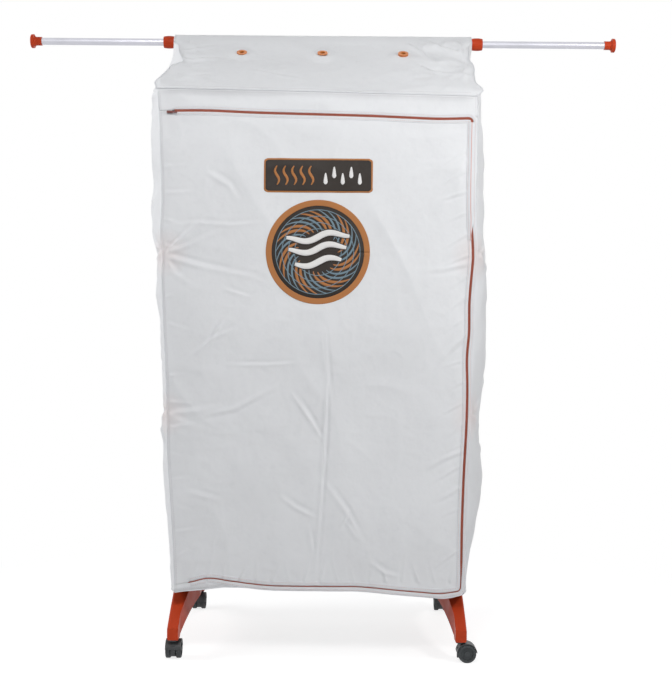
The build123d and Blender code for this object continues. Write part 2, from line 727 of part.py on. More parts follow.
with BuildPart() as door:
    add(
        hanging_wall(
            fold_heights(DOOR_FOLDS, DOOR_FOOT_Z, DOOR_TOP_Z),
            lambda z: ((-cover_x(z), -COVER_Y), (zip_x(z) - GAP, -COVER_Y)),
            Vector(0, -1),
        )
    )
    # Its top edge follows the zip
    with BuildSketch(Plane.XZ.offset(COVER_Y)):
        Polygon(
            zip_top(-COVER_TOP_X), zip_top(COVER_TOP_X), (COVER_TOP_X, EAVES_Z), (-COVER_TOP_X, EAVES_Z),
            align=None,
        )
    extrude(amount=BAND_H, both=True, mode=Mode.SUBTRACT)
keep(door.part, "door_panel")

# Roof: a front and a rear slope that meet over the ridge
along = Vector(cos(slope), -sin(slope))
upward = Vector(sin(slope), cos(slope))
slope_top = over_ridge(ridge_r, slope)
eaves_in = slope_top + along * slope_length
outer_r = ridge_r + SHEET_T
with BuildPart() as roof:
    with BuildSketch(Plane.YZ.offset(-COVER_TOP_X)):
        with BuildLine():
            Line(over_ridge(ridge_r, ROOF_PART), over_ridge(outer_r, ROOF_PART))
            ThreePointArc(
                over_ridge(outer_r, ROOF_PART), over_ridge(outer_r, slope / 2), over_ridge(outer_r, slope)
            )
            Line(over_ridge(outer_r, slope), eaves_in + upward * SHEET_T)
            Line(eaves_in + upward * SHEET_T, eaves_in)
            Line(eaves_in, slope_top)
            ThreePointArc(slope_top, over_ridge(ridge_r, slope / 2), over_ridge(ridge_r, ROOF_PART))
        make_face()
    extrude(amount=2 * COVER_TOP_X)
    mirror(about=Plane.XZ)
    eyelet_point = slope_top + along * (EYELET_DOWN - ridge_r * slope)
    eyelet_places = [
        Plane((x, -eyelet_point.X, eyelet_point.Y), x_dir=(1, 0, 0), z_dir=(0, -upward.X, upward.Y))
        for x in (-EYELET_PITCH, 0, EYELET_PITCH)
    ]
    for place in eyelet_places:
        with BuildSketch(place):
            Circle(EYELET_HOLE_D / 2 + EYELET_T + SOCKET_FIT)
        extrude(amount=2 * SHEET_T, both=True, mode=Mode.SUBTRACT)
keep(roof.part, "cover_roof")

with BuildPart() as eyelets:
    for place in eyelet_places:
        for height, radius in ((-EYELET_T, EYELET_D / 2), (SHEET_T, EYELET_D / 2)):
            with BuildSketch(place.offset(height)):
                Circle(radius)
                Circle(EYELET_HOLE_D / 2, mode=Mode.SUBTRACT)
            extrude(amount=EYELET_T)
        with BuildSketch(place):
            Circle(EYELET_HOLE_D / 2 + EYELET_T)
            Circle(EYELET_HOLE_D / 2, mode=Mode.SUBTRACT)
        extrude(amount=SHEET_T)
keep(eyelets.part, "roof_eyelets")

# The fixed strips of the front: a band over the door, a stile on the right, a hem
strip_foot_z = DOOR_FOOT_Z - GAP
top_left_x, top_right_x = -cover_x(DOOR_TOP_Z), cover_x(DOOR_TOP_Z - ZIP_FALL)
zip_corner_x = zip_x(DOOR_TOP_Z - ZIP_FALL)
with BuildPart() as front:
    for outline in (
        [zip_top(top_left_x, GAP), zip_top(top_right_x, GAP),
         (COVER_TOP_X, EAVES_Z), (-COVER_TOP_X, EAVES_Z)],
        [(zip_x(DOOR_FOOT_Z), DOOR_FOOT_Z), (cover_x(DOOR_FOOT_Z), DOOR_FOOT_Z),
         zip_top(top_right_x), zip_top(zip_corner_x)],
        [(-COVER_FOOT_X, HEM_Z), (COVER_FOOT_X, HEM_Z),
         (cover_x(strip_foot_z), strip_foot_z), (-cover_x(strip_foot_z), strip_foot_z)],
    ):
        with BuildSketch(Plane.XZ.offset(COVER_Y - SHEET_T)):
            Polygon(*outline, align=None)
        extrude(amount=SHEET_T)
keep(front.part, "cover_front")

# Zip: a tape beside the door's top, right and bottom edges, and the slider on it
with BuildPart() as tape:
    with BuildSketch(Plane.XZ.offset(COVER_Y)):
        low_z = strip_foot_z - ZIP_W
        Polygon(
            (-cover_x(low_z) + ZIP_W, low_z), (zip_x(low_z) + ZIP_W, low_z),
            zip_top(zip_corner_x + ZIP_W, GAP + ZIP_W), zip_top(top_left_x + ZIP_W, GAP + ZIP_W),
            align=None,
        )
        Polygon(
            (-cover_x(strip_foot_z), strip_foot_z), (zip_x(strip_foot_z), strip_foot_z),
            zip_top(zip_corner_x, GAP), zip_top(top_left_x, GAP),
            align=None, mode=Mode.SUBTRACT,
        )
    extrude(amount=ZIP_T)
keep(tape.part, "zip_tape")

slider_x = top_left_x + ZIP_W + SLIDER_L
zip_turn = -degrees(atan2(ZIP_FALL, 2 * COVER_TOP_X))
with BuildPart() as slider:
    with BuildSketch(Plane.XZ.offset(COVER_Y + ZIP_T + GAP)):
        with Locations(Location(zip_top(slider_x, GAP + ZIP_W / 2), zip_turn)):
            RectangleRounded(SLIDER_L, ZIP_W - 2 * GAP, SLIDER_R)
    extrude(amount=SLIDER_T)
    with BuildSketch(Plane.XZ.offset(COVER_Y + ZIP_T + GAP + SLIDER_T)):
        with Locations(Location(zip_top(slider_x + SLIDER_L / 2, GAP + ZIP_W / 2), zip_turn)):
            SlotOverall(PULL_L, PULL_W)
    extrude(amount=PULL_T)
keep(slider.part, "zip_slider")

# Blower: a tray on the base tubes, with the fan and heater under the outlet grille
inner_x, inner_y = BLOWER_X - 2 * BLOWER_WALL, BLOWER_Y - 2 * BLOWER_WALL
inner_r = BLOWER_R - BLOWER_WALL
tray_floor_z = BLOWER_FOOT_Z + BLOWER_WALL
saddle_h = BLOWER_FOOT_Z + 1 - BASE_TUBE_Z
saddle_mid_z = BASE_TUBE_Z + saddle_h / 2
inlet_z = (tray_floor_z + BLOWER_SPLIT_Z) / 2
fan_foot_z = BLOWER_SPLIT_Z + FAN_LIFT
rocker_y = -BLOWER_Y / 2 + BLOWER_WALL / 2
with BuildPart() as tray:
    with BuildSketch(Plane.XY.offset(BLOWER_FOOT_Z)):
        RectangleRounded(BLOWER_X, BLOWER_Y, BLOWER_R)
    extrude(amount=BLOWER_SPLIT_Z - BLOWER_FOOT_Z)
    fillet(tray.faces().sort_by(Axis.Z)[0].edges(), radius=BLOWER_WALL)
    with BuildSketch(Plane.XY.offset(tray_floor_z)):
        RectangleRounded(inner_x, inner_y, inner_r)
    extrude(amount=BLOWER_SPLIT_Z - tray_floor_z, mode=Mode.SUBTRACT)
    # Saddles that straddle the base tubes
    for x in (-SADDLE_X, SADDLE_X):
        with BuildSketch(Plane.YZ.offset(x - SADDLE_T / 2)):
            with Locations((BASE_TUBE_Y, saddle_mid_z), (-BASE_TUBE_Y, saddle_mid_z)):
                Rectangle(BASE_TUBE_D + 2 * SADDLE_WALL, saddle_h)
            with Locations((BASE_TUBE_Y, BASE_TUBE_Z), (-BASE_TUBE_Y, BASE_TUBE_Z)):
                Circle(BASE_TUBE_D / 2 + SOCKET_FIT, mode=Mode.SUBTRACT)
        extrude(amount=SADDLE_T)
    with BuildSketch(Plane.XY.offset(BLOWER_FOOT_Z)):
        Circle(INTAKE_D / 2)
    extrude(amount=BLOWER_WALL, mode=Mode.SUBTRACT)
    with BuildSketch(Plane.XZ.offset(-BLOWER_Y / 2 - 1)):
        with Locations((INLET_X, inlet_z)):
            Circle(INLET_D / 2 + SOCKET_FIT)
    extrude(amount=BLOWER_WALL + 2, mode=Mode.SUBTRACT)
keep(tray.part, "blower_tray")

with BuildPart() as inlet:
    with BuildSketch(Plane.XZ.offset(-BLOWER_Y / 2 - INLET_FLANGE_T)):
        with Locations((INLET_X, inlet_z)):
            Circle(INLET_D / 2 + INLET_LAP)
    extrude(amount=INLET_FLANGE_T)
    with BuildSketch(Plane.XZ.offset(-BLOWER_Y / 2)):
        with Locations((INLET_X, inlet_z)):
            Circle(INLET_D / 2)
    extrude(amount=INLET_DEPTH)
    with BuildSketch(Plane.XZ.offset(-BLOWER_Y / 2 - INLET_FLANGE_T)):
        with Locations((INLET_X, inlet_z)):
            Circle(INLET_BORE / 2)
    extrude(amount=INLET_DEPTH, mode=Mode.SUBTRACT)
    # Contact pins at the bottom of the socket
    with BuildSketch(Plane.XZ.offset(-BLOWER_Y / 2 + INLET_DEPTH - INLET_FLANGE_T)):
        with Locations((INLET_X - PIN_PITCH / 2, inlet_z), (INLET_X + PIN_PITCH / 2, inlet_z)):
            Circle(PIN_D / 2)
    extrude(amount=-PIN_L)
keep(inlet.part, "power_inlet")

with BuildPart() as intake:
    with BuildSketch(Plane.XY.offset(tray_floor_z)):
        Circle(INTAKE_D / 2 + INTAKE_LAP)
        with PolarLocations(INTAKE_SLOT_R, INTAKE_SLOTS):
            Rectangle(INTAKE_SLOT_L, INTAKE_SLOT_W, mode=Mode.SUBTRACT)
    extrude(amount=GRILLE_T)
    # A cup that holds the motor
    with BuildSketch(Plane.XY.offset(tray_floor_z)):
        Circle(MOTOR_D / 2 + MOTOR_CUP_WALL)
        Circle(MOTOR_D / 2 + SOCKET_FIT, mode=Mode.SUBTRACT)
    extrude(amount=GRILLE_T + MOTOR_CUP_H)
keep(intake.part, "intake_grille")

motor_foot_z = tray_floor_z + GRILLE_T
with BuildPart() as motor:
    with BuildSketch(Plane.XY.offset(motor_foot_z)):
        Circle(MOTOR_D / 2)
    extrude(amount=MOTOR_H)
    fillet(motor.edges().sort_by(Axis.Z)[-1], radius=MOTOR_EDGE_R)
    with BuildSketch(Plane.XY.offset(motor_foot_z + MOTOR_H)):
        Circle(MOTOR_BOSS_D / 2)
    extrude(amount=MOTOR_BOSS_H)
    with BuildSketch(Plane.XY.offset(motor_foot_z + MOTOR_H)):
        Circle(SHAFT_D / 2)
    extrude(amount=fan_foot_z + FAN_BORE_H - motor_foot_z - MOTOR_H)
keep(motor.part, "fan_motor")

with BuildPart(Plane.XY.offset(fan_foot_z)) as fan:
    Cylinder(FAN_HUB_D / 2, FAN_H, align=(Align.CENTER, Align.CENTER, Align.MIN))
    fillet(fan.edges().sort_by(Axis.Z)[-1], radius=FAN_HUB_R)
    blade_length = FAN_D / 2 - FAN_HUB_D / 2 + BLADE_ROOT
    with Locations((0, 0, FAN_H / 2)):
        with PolarLocations(FAN_HUB_D / 2 - BLADE_ROOT, FAN_BLADES):
            Box(
                blade_length, FAN_BLADE_W, FAN_BLADE_T, rotation=(FAN_PITCH, 0, 0),
                align=(Align.MIN, Align.CENTER, Align.CENTER),
            )
    Cylinder(FAN_D / 2, 2 * FAN_H, mode=Mode.INTERSECT)
    Cylinder(
        SHAFT_D / 2 + RUN_FIT, FAN_BORE_H + GAP, mode=Mode.SUBTRACT,
        align=(Align.CENTER, Align.CENTER, Align.MIN),
    )
keep(fan.part, "fan_impeller")

with BuildPart() as housing:
    with BuildSketch(Plane.XY.offset(BLOWER_SPLIT_Z)):
        RectangleRounded(BLOWER_X, BLOWER_Y, BLOWER_R)
    extrude(amount=BLOWER_TOP_Z - BLOWER_SPLIT_Z)
    fillet(housing.faces().sort_by(Axis.Z)[-1].edges(), radius=HOUSING_EDGE_R)
    with BuildSketch(Plane.XY.offset(BLOWER_SPLIT_Z)):
        RectangleRounded(inner_x, inner_y, inner_r)
    extrude(amount=BLOWER_TOP_Z - BLOWER_WALL - BLOWER_SPLIT_Z, mode=Mode.SUBTRACT)
    # A deck across the housing, with a short duct round the fan
    with BuildSketch(Plane.XY.offset(DECK_Z)):
        RectangleRounded(inner_x + BLOWER_WALL, inner_y + BLOWER_WALL, inner_r)
        Circle(FAN_D / 2 + DUCT_GAP, mode=Mode.SUBTRACT)
    extrude(amount=BLOWER_WALL)
    with BuildSketch(Plane.XY.offset(BLOWER_SPLIT_Z)):
        Circle(FAN_D / 2 + DUCT_GAP + BLOWER_WALL)
        Circle(FAN_D / 2 + DUCT_GAP, mode=Mode.SUBTRACT)
    extrude(amount=DECK_Z - BLOWER_SPLIT_Z)
    with BuildSketch(Plane.XY.offset(BLOWER_TOP_Z)):
        RectangleRounded(OUTLET_X, OUTLET_Y, OUTLET_R)
    extrude(amount=-2 * BLOWER_WALL, mode=Mode.SUBTRACT)
    with BuildSketch(Plane.XZ.offset(BLOWER_Y / 2)):
        with Locations((TIMER_X, PANEL_Z)):
            Circle(TIMER_SHAFT_D / 2 + RUN_FIT)
        with Locations((SWITCH_X, PANEL_Z)):
            Rectangle(SWITCH_W + 4 * GAP, SWITCH_H + 4 * GAP)
    extrude(amount=-2 * BLOWER_WALL, mode=Mode.SUBTRACT)
    # Blind seats for the rocker's pivot pins
    with BuildSketch(Plane.YZ.offset(SWITCH_X - SWITCH_W / 2 - ROCKER_PIN_L)):
        with Locations((rocker_y, PANEL_Z)):
            Circle(ROCKER_PIN_D / 2 + RUN_FIT)
    extrude(amount=SWITCH_W + 2 * ROCKER_PIN_L, mode=Mode.SUBTRACT)
keep(housing.part, "blower_housing")

with BuildPart() as heater:
    with BuildSketch(Plane.XY.offset(DECK_Z + BLOWER_WALL)):
        Rectangle(HEATER_X, HEATER_Y)
        Rectangle(HEATER_X - 2 * HEATER_FRAME, HEATER_Y - 2 * HEATER_FRAME, mode=Mode.SUBTRACT)
    extrude(amount=HEATER_H)
    with BuildSketch(Plane.XY.offset(DECK_Z + BLOWER_WALL + HEATER_FIN_IN)):
        with GridLocations(0, (HEATER_Y - 2 * HEATER_FRAME) / HEATER_FINS, 1, HEATER_FINS):
            Rectangle(HEATER_X - HEATER_FRAME, HEATER_FIN_T)
    extrude(amount=HEATER_H - 2 * HEATER_FIN_IN)
keep(heater.part, "heater_element")

with BuildPart() as outlet:
    with BuildSketch(Plane.XY.offset(BLOWER_TOP_Z)):
        RectangleRounded(OUTLET_X + 2 * OUTLET_LAP, OUTLET_Y + 2 * OUTLET_LAP, OUTLET_R + OUTLET_LAP)
        with GridLocations(OUTLET_X / 2, OUTLET_Y / OUTLET_ROWS, 2, OUTLET_ROWS):
            Rectangle(OUTLET_X / 2 - OUTLET_BAR, OUTLET_SLOT_W, mode=Mode.SUBTRACT)
    extrude(amount=GRILLE_T)
    chamfer(outlet.faces().sort_by(Axis.Z)[-1].outer_wire().edges(), length=GRILLE_T / 2)
keep(outlet.part, "outlet_grille")

with BuildPart() as timer:
    with BuildSketch(Plane.XZ.offset(BLOWER_Y / 2 + GAP)):
        with Locations((TIMER_X, PANEL_Z)):
            Circle(TIMER_D / 2)
    extrude(amount=TIMER_SKIRT_T)
    with BuildSketch(Plane.XZ.offset(BLOWER_Y / 2 + GAP)):
        with Locations((TIMER_X, PANEL_Z)):
            Circle(TIMER_GRIP_D / 2)
            with PolarLocations(TIMER_GRIP_D / 2, TIMER_FLUTES):
                RegularPolygon(TIMER_FLUTE_R, 4, mode=Mode.SUBTRACT)
    extrude(amount=TIMER_H)
    # A raised pointer line on the grip's face
    with BuildSketch(Plane.XZ.offset(BLOWER_Y / 2 + GAP + TIMER_H)):
        with Locations((TIMER_X, PANEL_Z + TIMER_GRIP_D / 4)):
            Rectangle(TIMER_LINE_W, TIMER_GRIP_D / 3)
    extrude(amount=TIMER_LINE_H)
    with BuildSketch(Plane.XZ.offset(BLOWER_Y / 2 + GAP)):
        with Locations((TIMER_X, PANEL_Z)):
            Circle(TIMER_SHAFT_D / 2)
    extrude(amount=-3 * BLOWER_WALL)
keep(timer.part, "timer_knob")

with BuildPart() as rocker:
    with BuildSketch(Plane.YZ.offset(SWITCH_X - SWITCH_W / 2)):
        with Locations(Location((rocker_y, PANEL_Z), SWITCH_TILT)):
            Rectangle(ROCKER_T, SWITCH_H)
            Circle(ROCKER_PIN_D / 2 + ROCKER_PIN_WALL)
    extrude(amount=SWITCH_W)
    with BuildSketch(Plane.YZ.offset(SWITCH_X - SWITCH_W / 2 - ROCKER_PIN_L + GAP)):
        with Locations((rocker_y, PANEL_Z)):
            Circle(ROCKER_PIN_D / 2)
    extrude(amount=SWITCH_W + 2 * ROCKER_PIN_L - 2 * GAP)
keep(rocker.part, "power_switch")
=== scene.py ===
# %% [markdown]
# # A covered electric clothes dryer
# A rack on four casters stands inside a cover of thin coated nylon. The cover hangs from
# one horizontal tube, so it looks like a small tent: two roof slopes, four walls, and a
# front wall that opens along a zip. The rack, casters, bars and blower come from the CAD
# model. Everything that is cloth is made here, because cloth is where the CAD model is
# only a plain stand-in.

import json
import math

import bmesh
import bpy
import numpy as np
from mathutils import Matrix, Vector


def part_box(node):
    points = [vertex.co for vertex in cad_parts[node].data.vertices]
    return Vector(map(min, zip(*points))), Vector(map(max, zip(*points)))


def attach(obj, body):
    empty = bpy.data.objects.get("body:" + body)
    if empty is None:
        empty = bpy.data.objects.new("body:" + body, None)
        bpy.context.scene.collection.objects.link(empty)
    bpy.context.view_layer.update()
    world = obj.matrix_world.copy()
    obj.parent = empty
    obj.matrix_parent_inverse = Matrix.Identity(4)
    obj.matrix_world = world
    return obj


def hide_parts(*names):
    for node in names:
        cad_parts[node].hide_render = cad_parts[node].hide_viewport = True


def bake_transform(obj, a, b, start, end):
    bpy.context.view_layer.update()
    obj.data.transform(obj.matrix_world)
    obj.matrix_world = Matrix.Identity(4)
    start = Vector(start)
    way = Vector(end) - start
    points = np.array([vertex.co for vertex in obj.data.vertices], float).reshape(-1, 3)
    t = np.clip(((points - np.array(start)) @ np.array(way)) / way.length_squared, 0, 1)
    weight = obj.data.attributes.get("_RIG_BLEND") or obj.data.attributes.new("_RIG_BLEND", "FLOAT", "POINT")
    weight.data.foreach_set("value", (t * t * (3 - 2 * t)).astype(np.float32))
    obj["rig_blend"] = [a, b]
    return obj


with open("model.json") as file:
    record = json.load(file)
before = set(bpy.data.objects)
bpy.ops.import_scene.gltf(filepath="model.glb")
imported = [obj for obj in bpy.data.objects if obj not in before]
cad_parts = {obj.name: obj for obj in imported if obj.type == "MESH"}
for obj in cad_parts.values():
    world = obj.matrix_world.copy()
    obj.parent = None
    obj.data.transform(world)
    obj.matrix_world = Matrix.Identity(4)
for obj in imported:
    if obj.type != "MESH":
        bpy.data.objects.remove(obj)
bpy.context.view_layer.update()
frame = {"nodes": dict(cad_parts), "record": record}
scene = bpy.context.scene
MM = 0.001


def new_object(name, data):
    """A new object with that mesh, lamp or camera, linked to the scene."""
    thing = bpy.data.objects.new(name, data)
    scene.collection.objects.link(thing)
    return thing


# %% [markdown]
# ## The camera
# The photograph was taken from straight ahead, at about half the dryer's height, and a
# little to the right of its middle. The level parts of the picture fall slightly to the
# right, which is a camera turned by half a degree about its own view line. The lens value
# comes from how much smaller the rear casters look than the front ones.

# %% Camera
PHOTO_WIDTH = 672
FOCAL_PIXELS = 1170
camera_data = bpy.data.cameras.new("photo_camera")
camera_data.sensor_fit, camera_data.sensor_width = "HORIZONTAL", 36
camera_data.lens = camera_data.sensor_width * FOCAL_PIXELS / PHOTO_WIDTH
camera = new_object("photo_camera", camera_data)
camera.location = (0.037, -2.84, 0.70)
camera.rotation_euler = (math.radians(90), math.radians(-0.45), 0)
scene.camera = camera
print("lens", round(camera_data.lens, 1), "mm")

# %% [markdown]
# ## Floor and background
# The dryer stands in front of plain white. The world is white only where the camera or a
# reflection looks straight at it. For lighting, the same world is a dimmer grey, so the
# pale cloth keeps its shading. The floor is lit like anything else, so that it holds the
# soft shadow under the casters, but a camera sees it lifted towards white, and pure white
# further away.

# %% Floor and white surroundings
scene.view_settings.view_transform = "Standard"


def add_node(tree, kind, inputs=None, **settings):
    """A new node of that kind. An input is given a plain value, or another node's output to follow."""
    node = tree.nodes.new("ShaderNode" + kind)
    for name, value in settings.items():
        setattr(node, name, value)
    for name, value in (inputs or {}).items():
        if isinstance(value, bpy.types.NodeSocket):
            tree.links.new(value, node.inputs[name])
        else:
            node.inputs[name].default_value = value
    return node


def seen_directly(tree):
    """1 for rays from the camera, off something glossy, or through something clear."""
    path = add_node(tree, "LightPath").outputs
    seen = path["Is Camera Ray"]
    for ray in ("Is Glossy Ray", "Is Transmission Ray"):
        seen = add_node(tree, "Math", {0: seen, 1: path[ray]}, operation="MAXIMUM").outputs[0]
    return seen


def shader_mix(tree, amount, first, second):
    return add_node(tree, "MixShader", {0: amount, 1: first, 2: second}).outputs[0]


def plain_shader(tree, kind, colour, **strength):
    """A shader of one colour: a grey level, or red, green and blue."""
    colour = (*colour, 1) if isinstance(colour, tuple) else (colour, colour, colour, 1)
    return add_node(tree, kind, {"Color": colour, **strength}).outputs[0]


AMBIENT = 0.25
FLOOR_REACH = 9
FADE_FROM, FADE_TO = 0.5, 1.3
world = bpy.data.worlds.new("white_studio")
world.use_nodes = True
scene.world = world
sky = world.node_tree
sky.nodes.clear()
sky_light = plain_shader(sky, "Background", (0.95, 0.97, 1.0), Strength=AMBIENT)
sky_white = plain_shader(sky, "Background", 1, Strength=1)
add_node(sky, "OutputWorld", {"Surface": shader_mix(sky, seen_directly(sky), sky_light, sky_white)})

floor_mesh = bpy.data.meshes.new("floor")
floor_corners = [(x * FLOOR_REACH, y * FLOOR_REACH, 0) for x, y in ((-1, -1), (1, -1), (1, 1), (-1, 1))]
floor_mesh.from_pydata(floor_corners, [], [(0, 1, 2, 3)])
floor = new_object("floor", floor_mesh)
paper = bpy.data.materials.new("white_paper")
paper.use_nodes = True
tree = paper.node_tree
tree.nodes.clear()
place = add_node(tree, "NewGeometry").outputs["Position"]
far = add_node(tree, "VectorMath", {0: place}, operation="LENGTH").outputs["Value"]
fade_inputs = {"Value": far, "From Min": FADE_FROM, "From Max": FADE_TO}
fade = add_node(tree, "MapRange", fade_inputs, interpolation_type="SMOOTHSTEP").outputs[0]
lit = plain_shader(tree, "BsdfDiffuse", 0.93)
shade = plain_shader(tree, "BsdfDiffuse", 0.40)
lift = plain_shader(tree, "Emission", 1, Strength=0.79)
near = add_node(tree, "AddShader", {0: shade, 1: lift}).outputs[0]
seen_floor = shader_mix(tree, fade, near, plain_shader(tree, "Emission", 1, Strength=1))
add_node(tree, "OutputMaterial", {"Surface": shader_mix(tree, seen_directly(tree), lit, seen_floor)})
floor_mesh.materials.append(paper)
print("floor and world made, ambient", AMBIENT)

# %% [markdown]
# ## Lamps
# There are four soft lamps. The one in front hangs high, because in the photograph the
# cover is brightest at its top and falls off towards its foot. A smaller one stands to the
# right: light along the cloth shows the creases, and light straight on hides them. The one
# on the left lights the wall that the front camera only sees edge on, where the
# photograph's white room makes a bright rim. The fourth stands behind, so that the rear of
# the cover isn't left in the dark.


# %% Soft lamps
def soft_lamp(name, place, aim, size, watts, colour=(1, 1, 1)):
    data = bpy.data.lights.new(name, "AREA")
    data.shape, data.size, data.energy, data.color = "DISK", size, watts, colour
    lamp = new_object(name, data)
    lamp.location = place
    lamp.rotation_euler = (Vector(aim) - Vector(place)).to_track_quat("-Z", "Y").to_euler()


soft_lamp("lamp_right", (1.30, -1.10, 1.50), (0.10, -0.23, 0.8), 0.4, 11, (1.0, 0.995, 0.985))
soft_lamp("lamp_front", (-0.20, -1.80, 2.0), (0.0, 0.0, 1.05), 0.6, 13)
soft_lamp("lamp_left", (-2.3, -0.2, 1.7), (0, 0, 1.0), 1.2, 24)
soft_lamp("lamp_back", (0.6, 2.6, 2.0), (0, 0, 0.8), 1.6, 17)

# %% [markdown]
# ## The cover's own sizes
# The CAD walls say where the cloth has to be: how high the eaves are, where the hem is,
# and how deep the tent is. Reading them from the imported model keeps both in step.

# %% Sizes of the cover
roof_low, roof_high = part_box("cover_roof")
back_low, back_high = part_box("cover_back")
tube_low, tube_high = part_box("ridge_tube")
COVER_Y = -roof_low.y
EAVES_Z = back_high.z
HEM_Z = back_low.z
EAVES_X = roof_high.x
HEM_X = EAVES_X - 0.032  # each side leans in towards the hem
RIDGE_Z = (tube_low.z + tube_high.z) / 2
RIDGE_ROUND = roof_high.z - RIDGE_Z
TIERS = [round(sum(z.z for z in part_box(f"wing_{tier}_front_rods")) / 2, 3) for tier in ("low", "mid", "top")]
print("cover half depth", round(COVER_Y, 4), "eaves", round(EAVES_Z, 3), "hem", round(HEM_Z, 3), "tiers", TIERS)

# %% [markdown]
# ## How a finish is made
# Each material starts from one Principled shader. Values that are the same all over go
# straight onto its sockets. What varies over the surface comes from noise and wave nodes in
# real metres, so that a weave is as fine as a weave, from any distance. Two small helpers
# keep this readable: one mixes two colours by a pattern, and one turns a pattern into bumps.


# %% Finish helpers
def screen(red, green, blue):
    """A colour as it looks on a screen, 0 to 255, as the shader's linear values."""
    return tuple(((v / 255 + 0.055) / 1.055) ** 2.4 for v in (red, green, blue))


def new_finish(name, colour, roughness, **sockets):
    """A Principled material. Returns the material, its node tree and its shader."""
    finish = bpy.data.materials.new(name)
    finish.use_nodes = True
    shader = finish.node_tree.nodes["Principled BSDF"]
    shader.inputs["Base Color"].default_value = (*colour, 1)
    shader.inputs["Roughness"].default_value = roughness
    for socket, value in sockets.items():
        shader.inputs[socket.replace("_", " ")].default_value = value
    return finish, finish.node_tree, shader


def mixed(tree, amount, first, second):
    """A colour between first and second. Each is a colour or another node's colour output."""
    mix = tree.nodes.new("ShaderNodeMix")
    mix.data_type = "RGBA"
    for socket, value in ((0, amount), (6, first), (7, second)):
        if isinstance(value, bpy.types.NodeSocket):
            tree.links.new(value, mix.inputs[socket])
        else:
            mix.inputs[socket].default_value = value if socket == 0 else (*value, 1)
    return mix.outputs[2]


def noise(tree, place, scale, detail=2.0, rough=0.5, stretch=None):
    """Noise of that many bumps per metre, 0 to 1. stretch scales the place along each axis first."""
    if stretch:
        place = add_node(tree, "VectorMath", {0: place, 1: stretch}, operation="MULTIPLY").outputs[0]
    inputs = {"Vector": place, "Scale": scale, "Detail": detail, "Roughness": rough}
    return add_node(tree, "TexNoise", inputs).outputs["Fac"]


def between(tree, value, low, high, to_low=0.0, to_high=1.0):
    """value, spread so that low gives to_low and high gives to_high, and cut off outside."""
    inputs = {"Value": value, "From Min": low, "From Max": high, "To Min": to_low, "To Max": to_high}
    return add_node(tree, "MapRange", inputs).outputs[0]


def bumped(tree, shader, layers):
    """Bumps from (pattern, height in metres) pairs, one on top of the other."""
    normal = None
    for pattern, height in layers:
        inputs = {"Height": pattern, "Distance": height, "Strength": 1.0}
        if normal:
            inputs["Normal"] = normal
        normal = add_node(tree, "Bump", inputs).outputs[0]
    tree.links.new(normal, shader.inputs["Normal"])


print("white on the screen is", screen(255, 255, 255))

# %% [markdown]
# ## Coated nylon
# The cover is a light, plain-woven nylon with a thin coating inside. Three things make it
# read as that cloth: a weave of about three threads to the millimetre, a fine crumple that
# is too small to model, and a faint sheen where it turns away. The rack's orange arms are
# near the cloth at each tier, and the pink that would show through the thin cloth at the
# corners is painted on as painted light. The hollows of the fine crumple are painted a little
# greyer, as painted shade in the folds.


# %% Coated nylon
def coated_nylon(name, colour):
    nylon, tree, shader = new_finish(
        name, colour, 0.55, Sheen_Weight=0.12, Sheen_Roughness=0.4, Specular_IOR_Level=0.35
    )
    place = add_node(tree, "TexCoord").outputs["Object"]
    metres = add_node(tree, "UVMap", uv_map="metres").outputs[0]
    threads = []
    for direction in ("X", "Y"):
        wave = add_node(tree, "TexWave", {"Vector": metres, "Scale": 950.0}, bands_direction=direction)
        threads.append(wave.outputs["Fac"])
    weave = add_node(tree, "Math", {0: threads[0], 1: threads[1]}, operation="MAXIMUM").outputs[0]
    crushed = noise(tree, place, 55.0, 3.0, 0.55)
    pinched = noise(tree, place, 170.0, 3.0, 0.6)
    bumped(tree, shader, [(crushed, 0.0008), (pinched, 0.00018), (weave, 0.00004)])
    cloudy = between(tree, noise(tree, place, 5.0, 3.0, 0.6), 0.35, 0.7)
    # Painted shade: the hollows of the crumple bump are mixed a little towards grey, as in the folds.
    painted_fold_shade = between(tree, crushed, 0.30, 0.48, 1.0, 0.0)
    base = mixed(tree, cloudy, colour, tuple(v * 0.965 for v in colour))
    painted_fold_shade_share = add_node(tree, "Math", {0: painted_fold_shade, 1: 0.06}, operation="MULTIPLY").outputs[0]
    base = mixed(tree, painted_fold_shade_share, base, (0.55, 0.56, 0.6))
    split = add_node(tree, "SeparateXYZ", {0: place}).outputs
    width = add_node(tree, "Math", {0: split["X"]}, operation="ABSOLUTE").outputs[0]
    depth = add_node(tree, "Math", {0: split["Y"]}, operation="ABSOLUTE").outputs[0]
    # Painted light: at the two lower tiers, pink where the orange arms show through the thin cloth near the corners.
    for tier_z in TIERS[:2]:
        corner = add_node(tree, "CombineXYZ", {"X": width, "Y": depth, "Z": split["Z"]}).outputs[0]
        ends = {0: corner, 1: (EAVES_X - 0.012, COVER_Y - 0.015, tier_z)}
        apart = add_node(tree, "VectorMath", ends, operation="DISTANCE").outputs["Value"]
        painted_pink_show_through = between(tree, apart, 0.010, 0.060, 0.16, 0.0)
        base = mixed(tree, painted_pink_show_through, base, screen(232, 176, 158))
    tree.links.new(base, shader.inputs["Base Color"])
    return nylon


COVER_COLOUR = screen(233, 234, 236)
cover_nylon = coated_nylon("cover_nylon", COVER_COLOUR)
binding_nylon = coated_nylon("binding_nylon", screen(226, 227, 230))
print("nylon", [round(v, 3) for v in COVER_COLOUR])

# %% [markdown]
# ## Moulded plastic and metal
# The rack's own parts keep their CAD shapes and only get a finish. Moulded polypropylene
# has a fine spark-eroded texture and slightly uneven gloss. Drawn tube has faint lines
# along its length. The thin rods have a soft white plastic coat, and the wheels a duller
# tread than their black nylon forks.


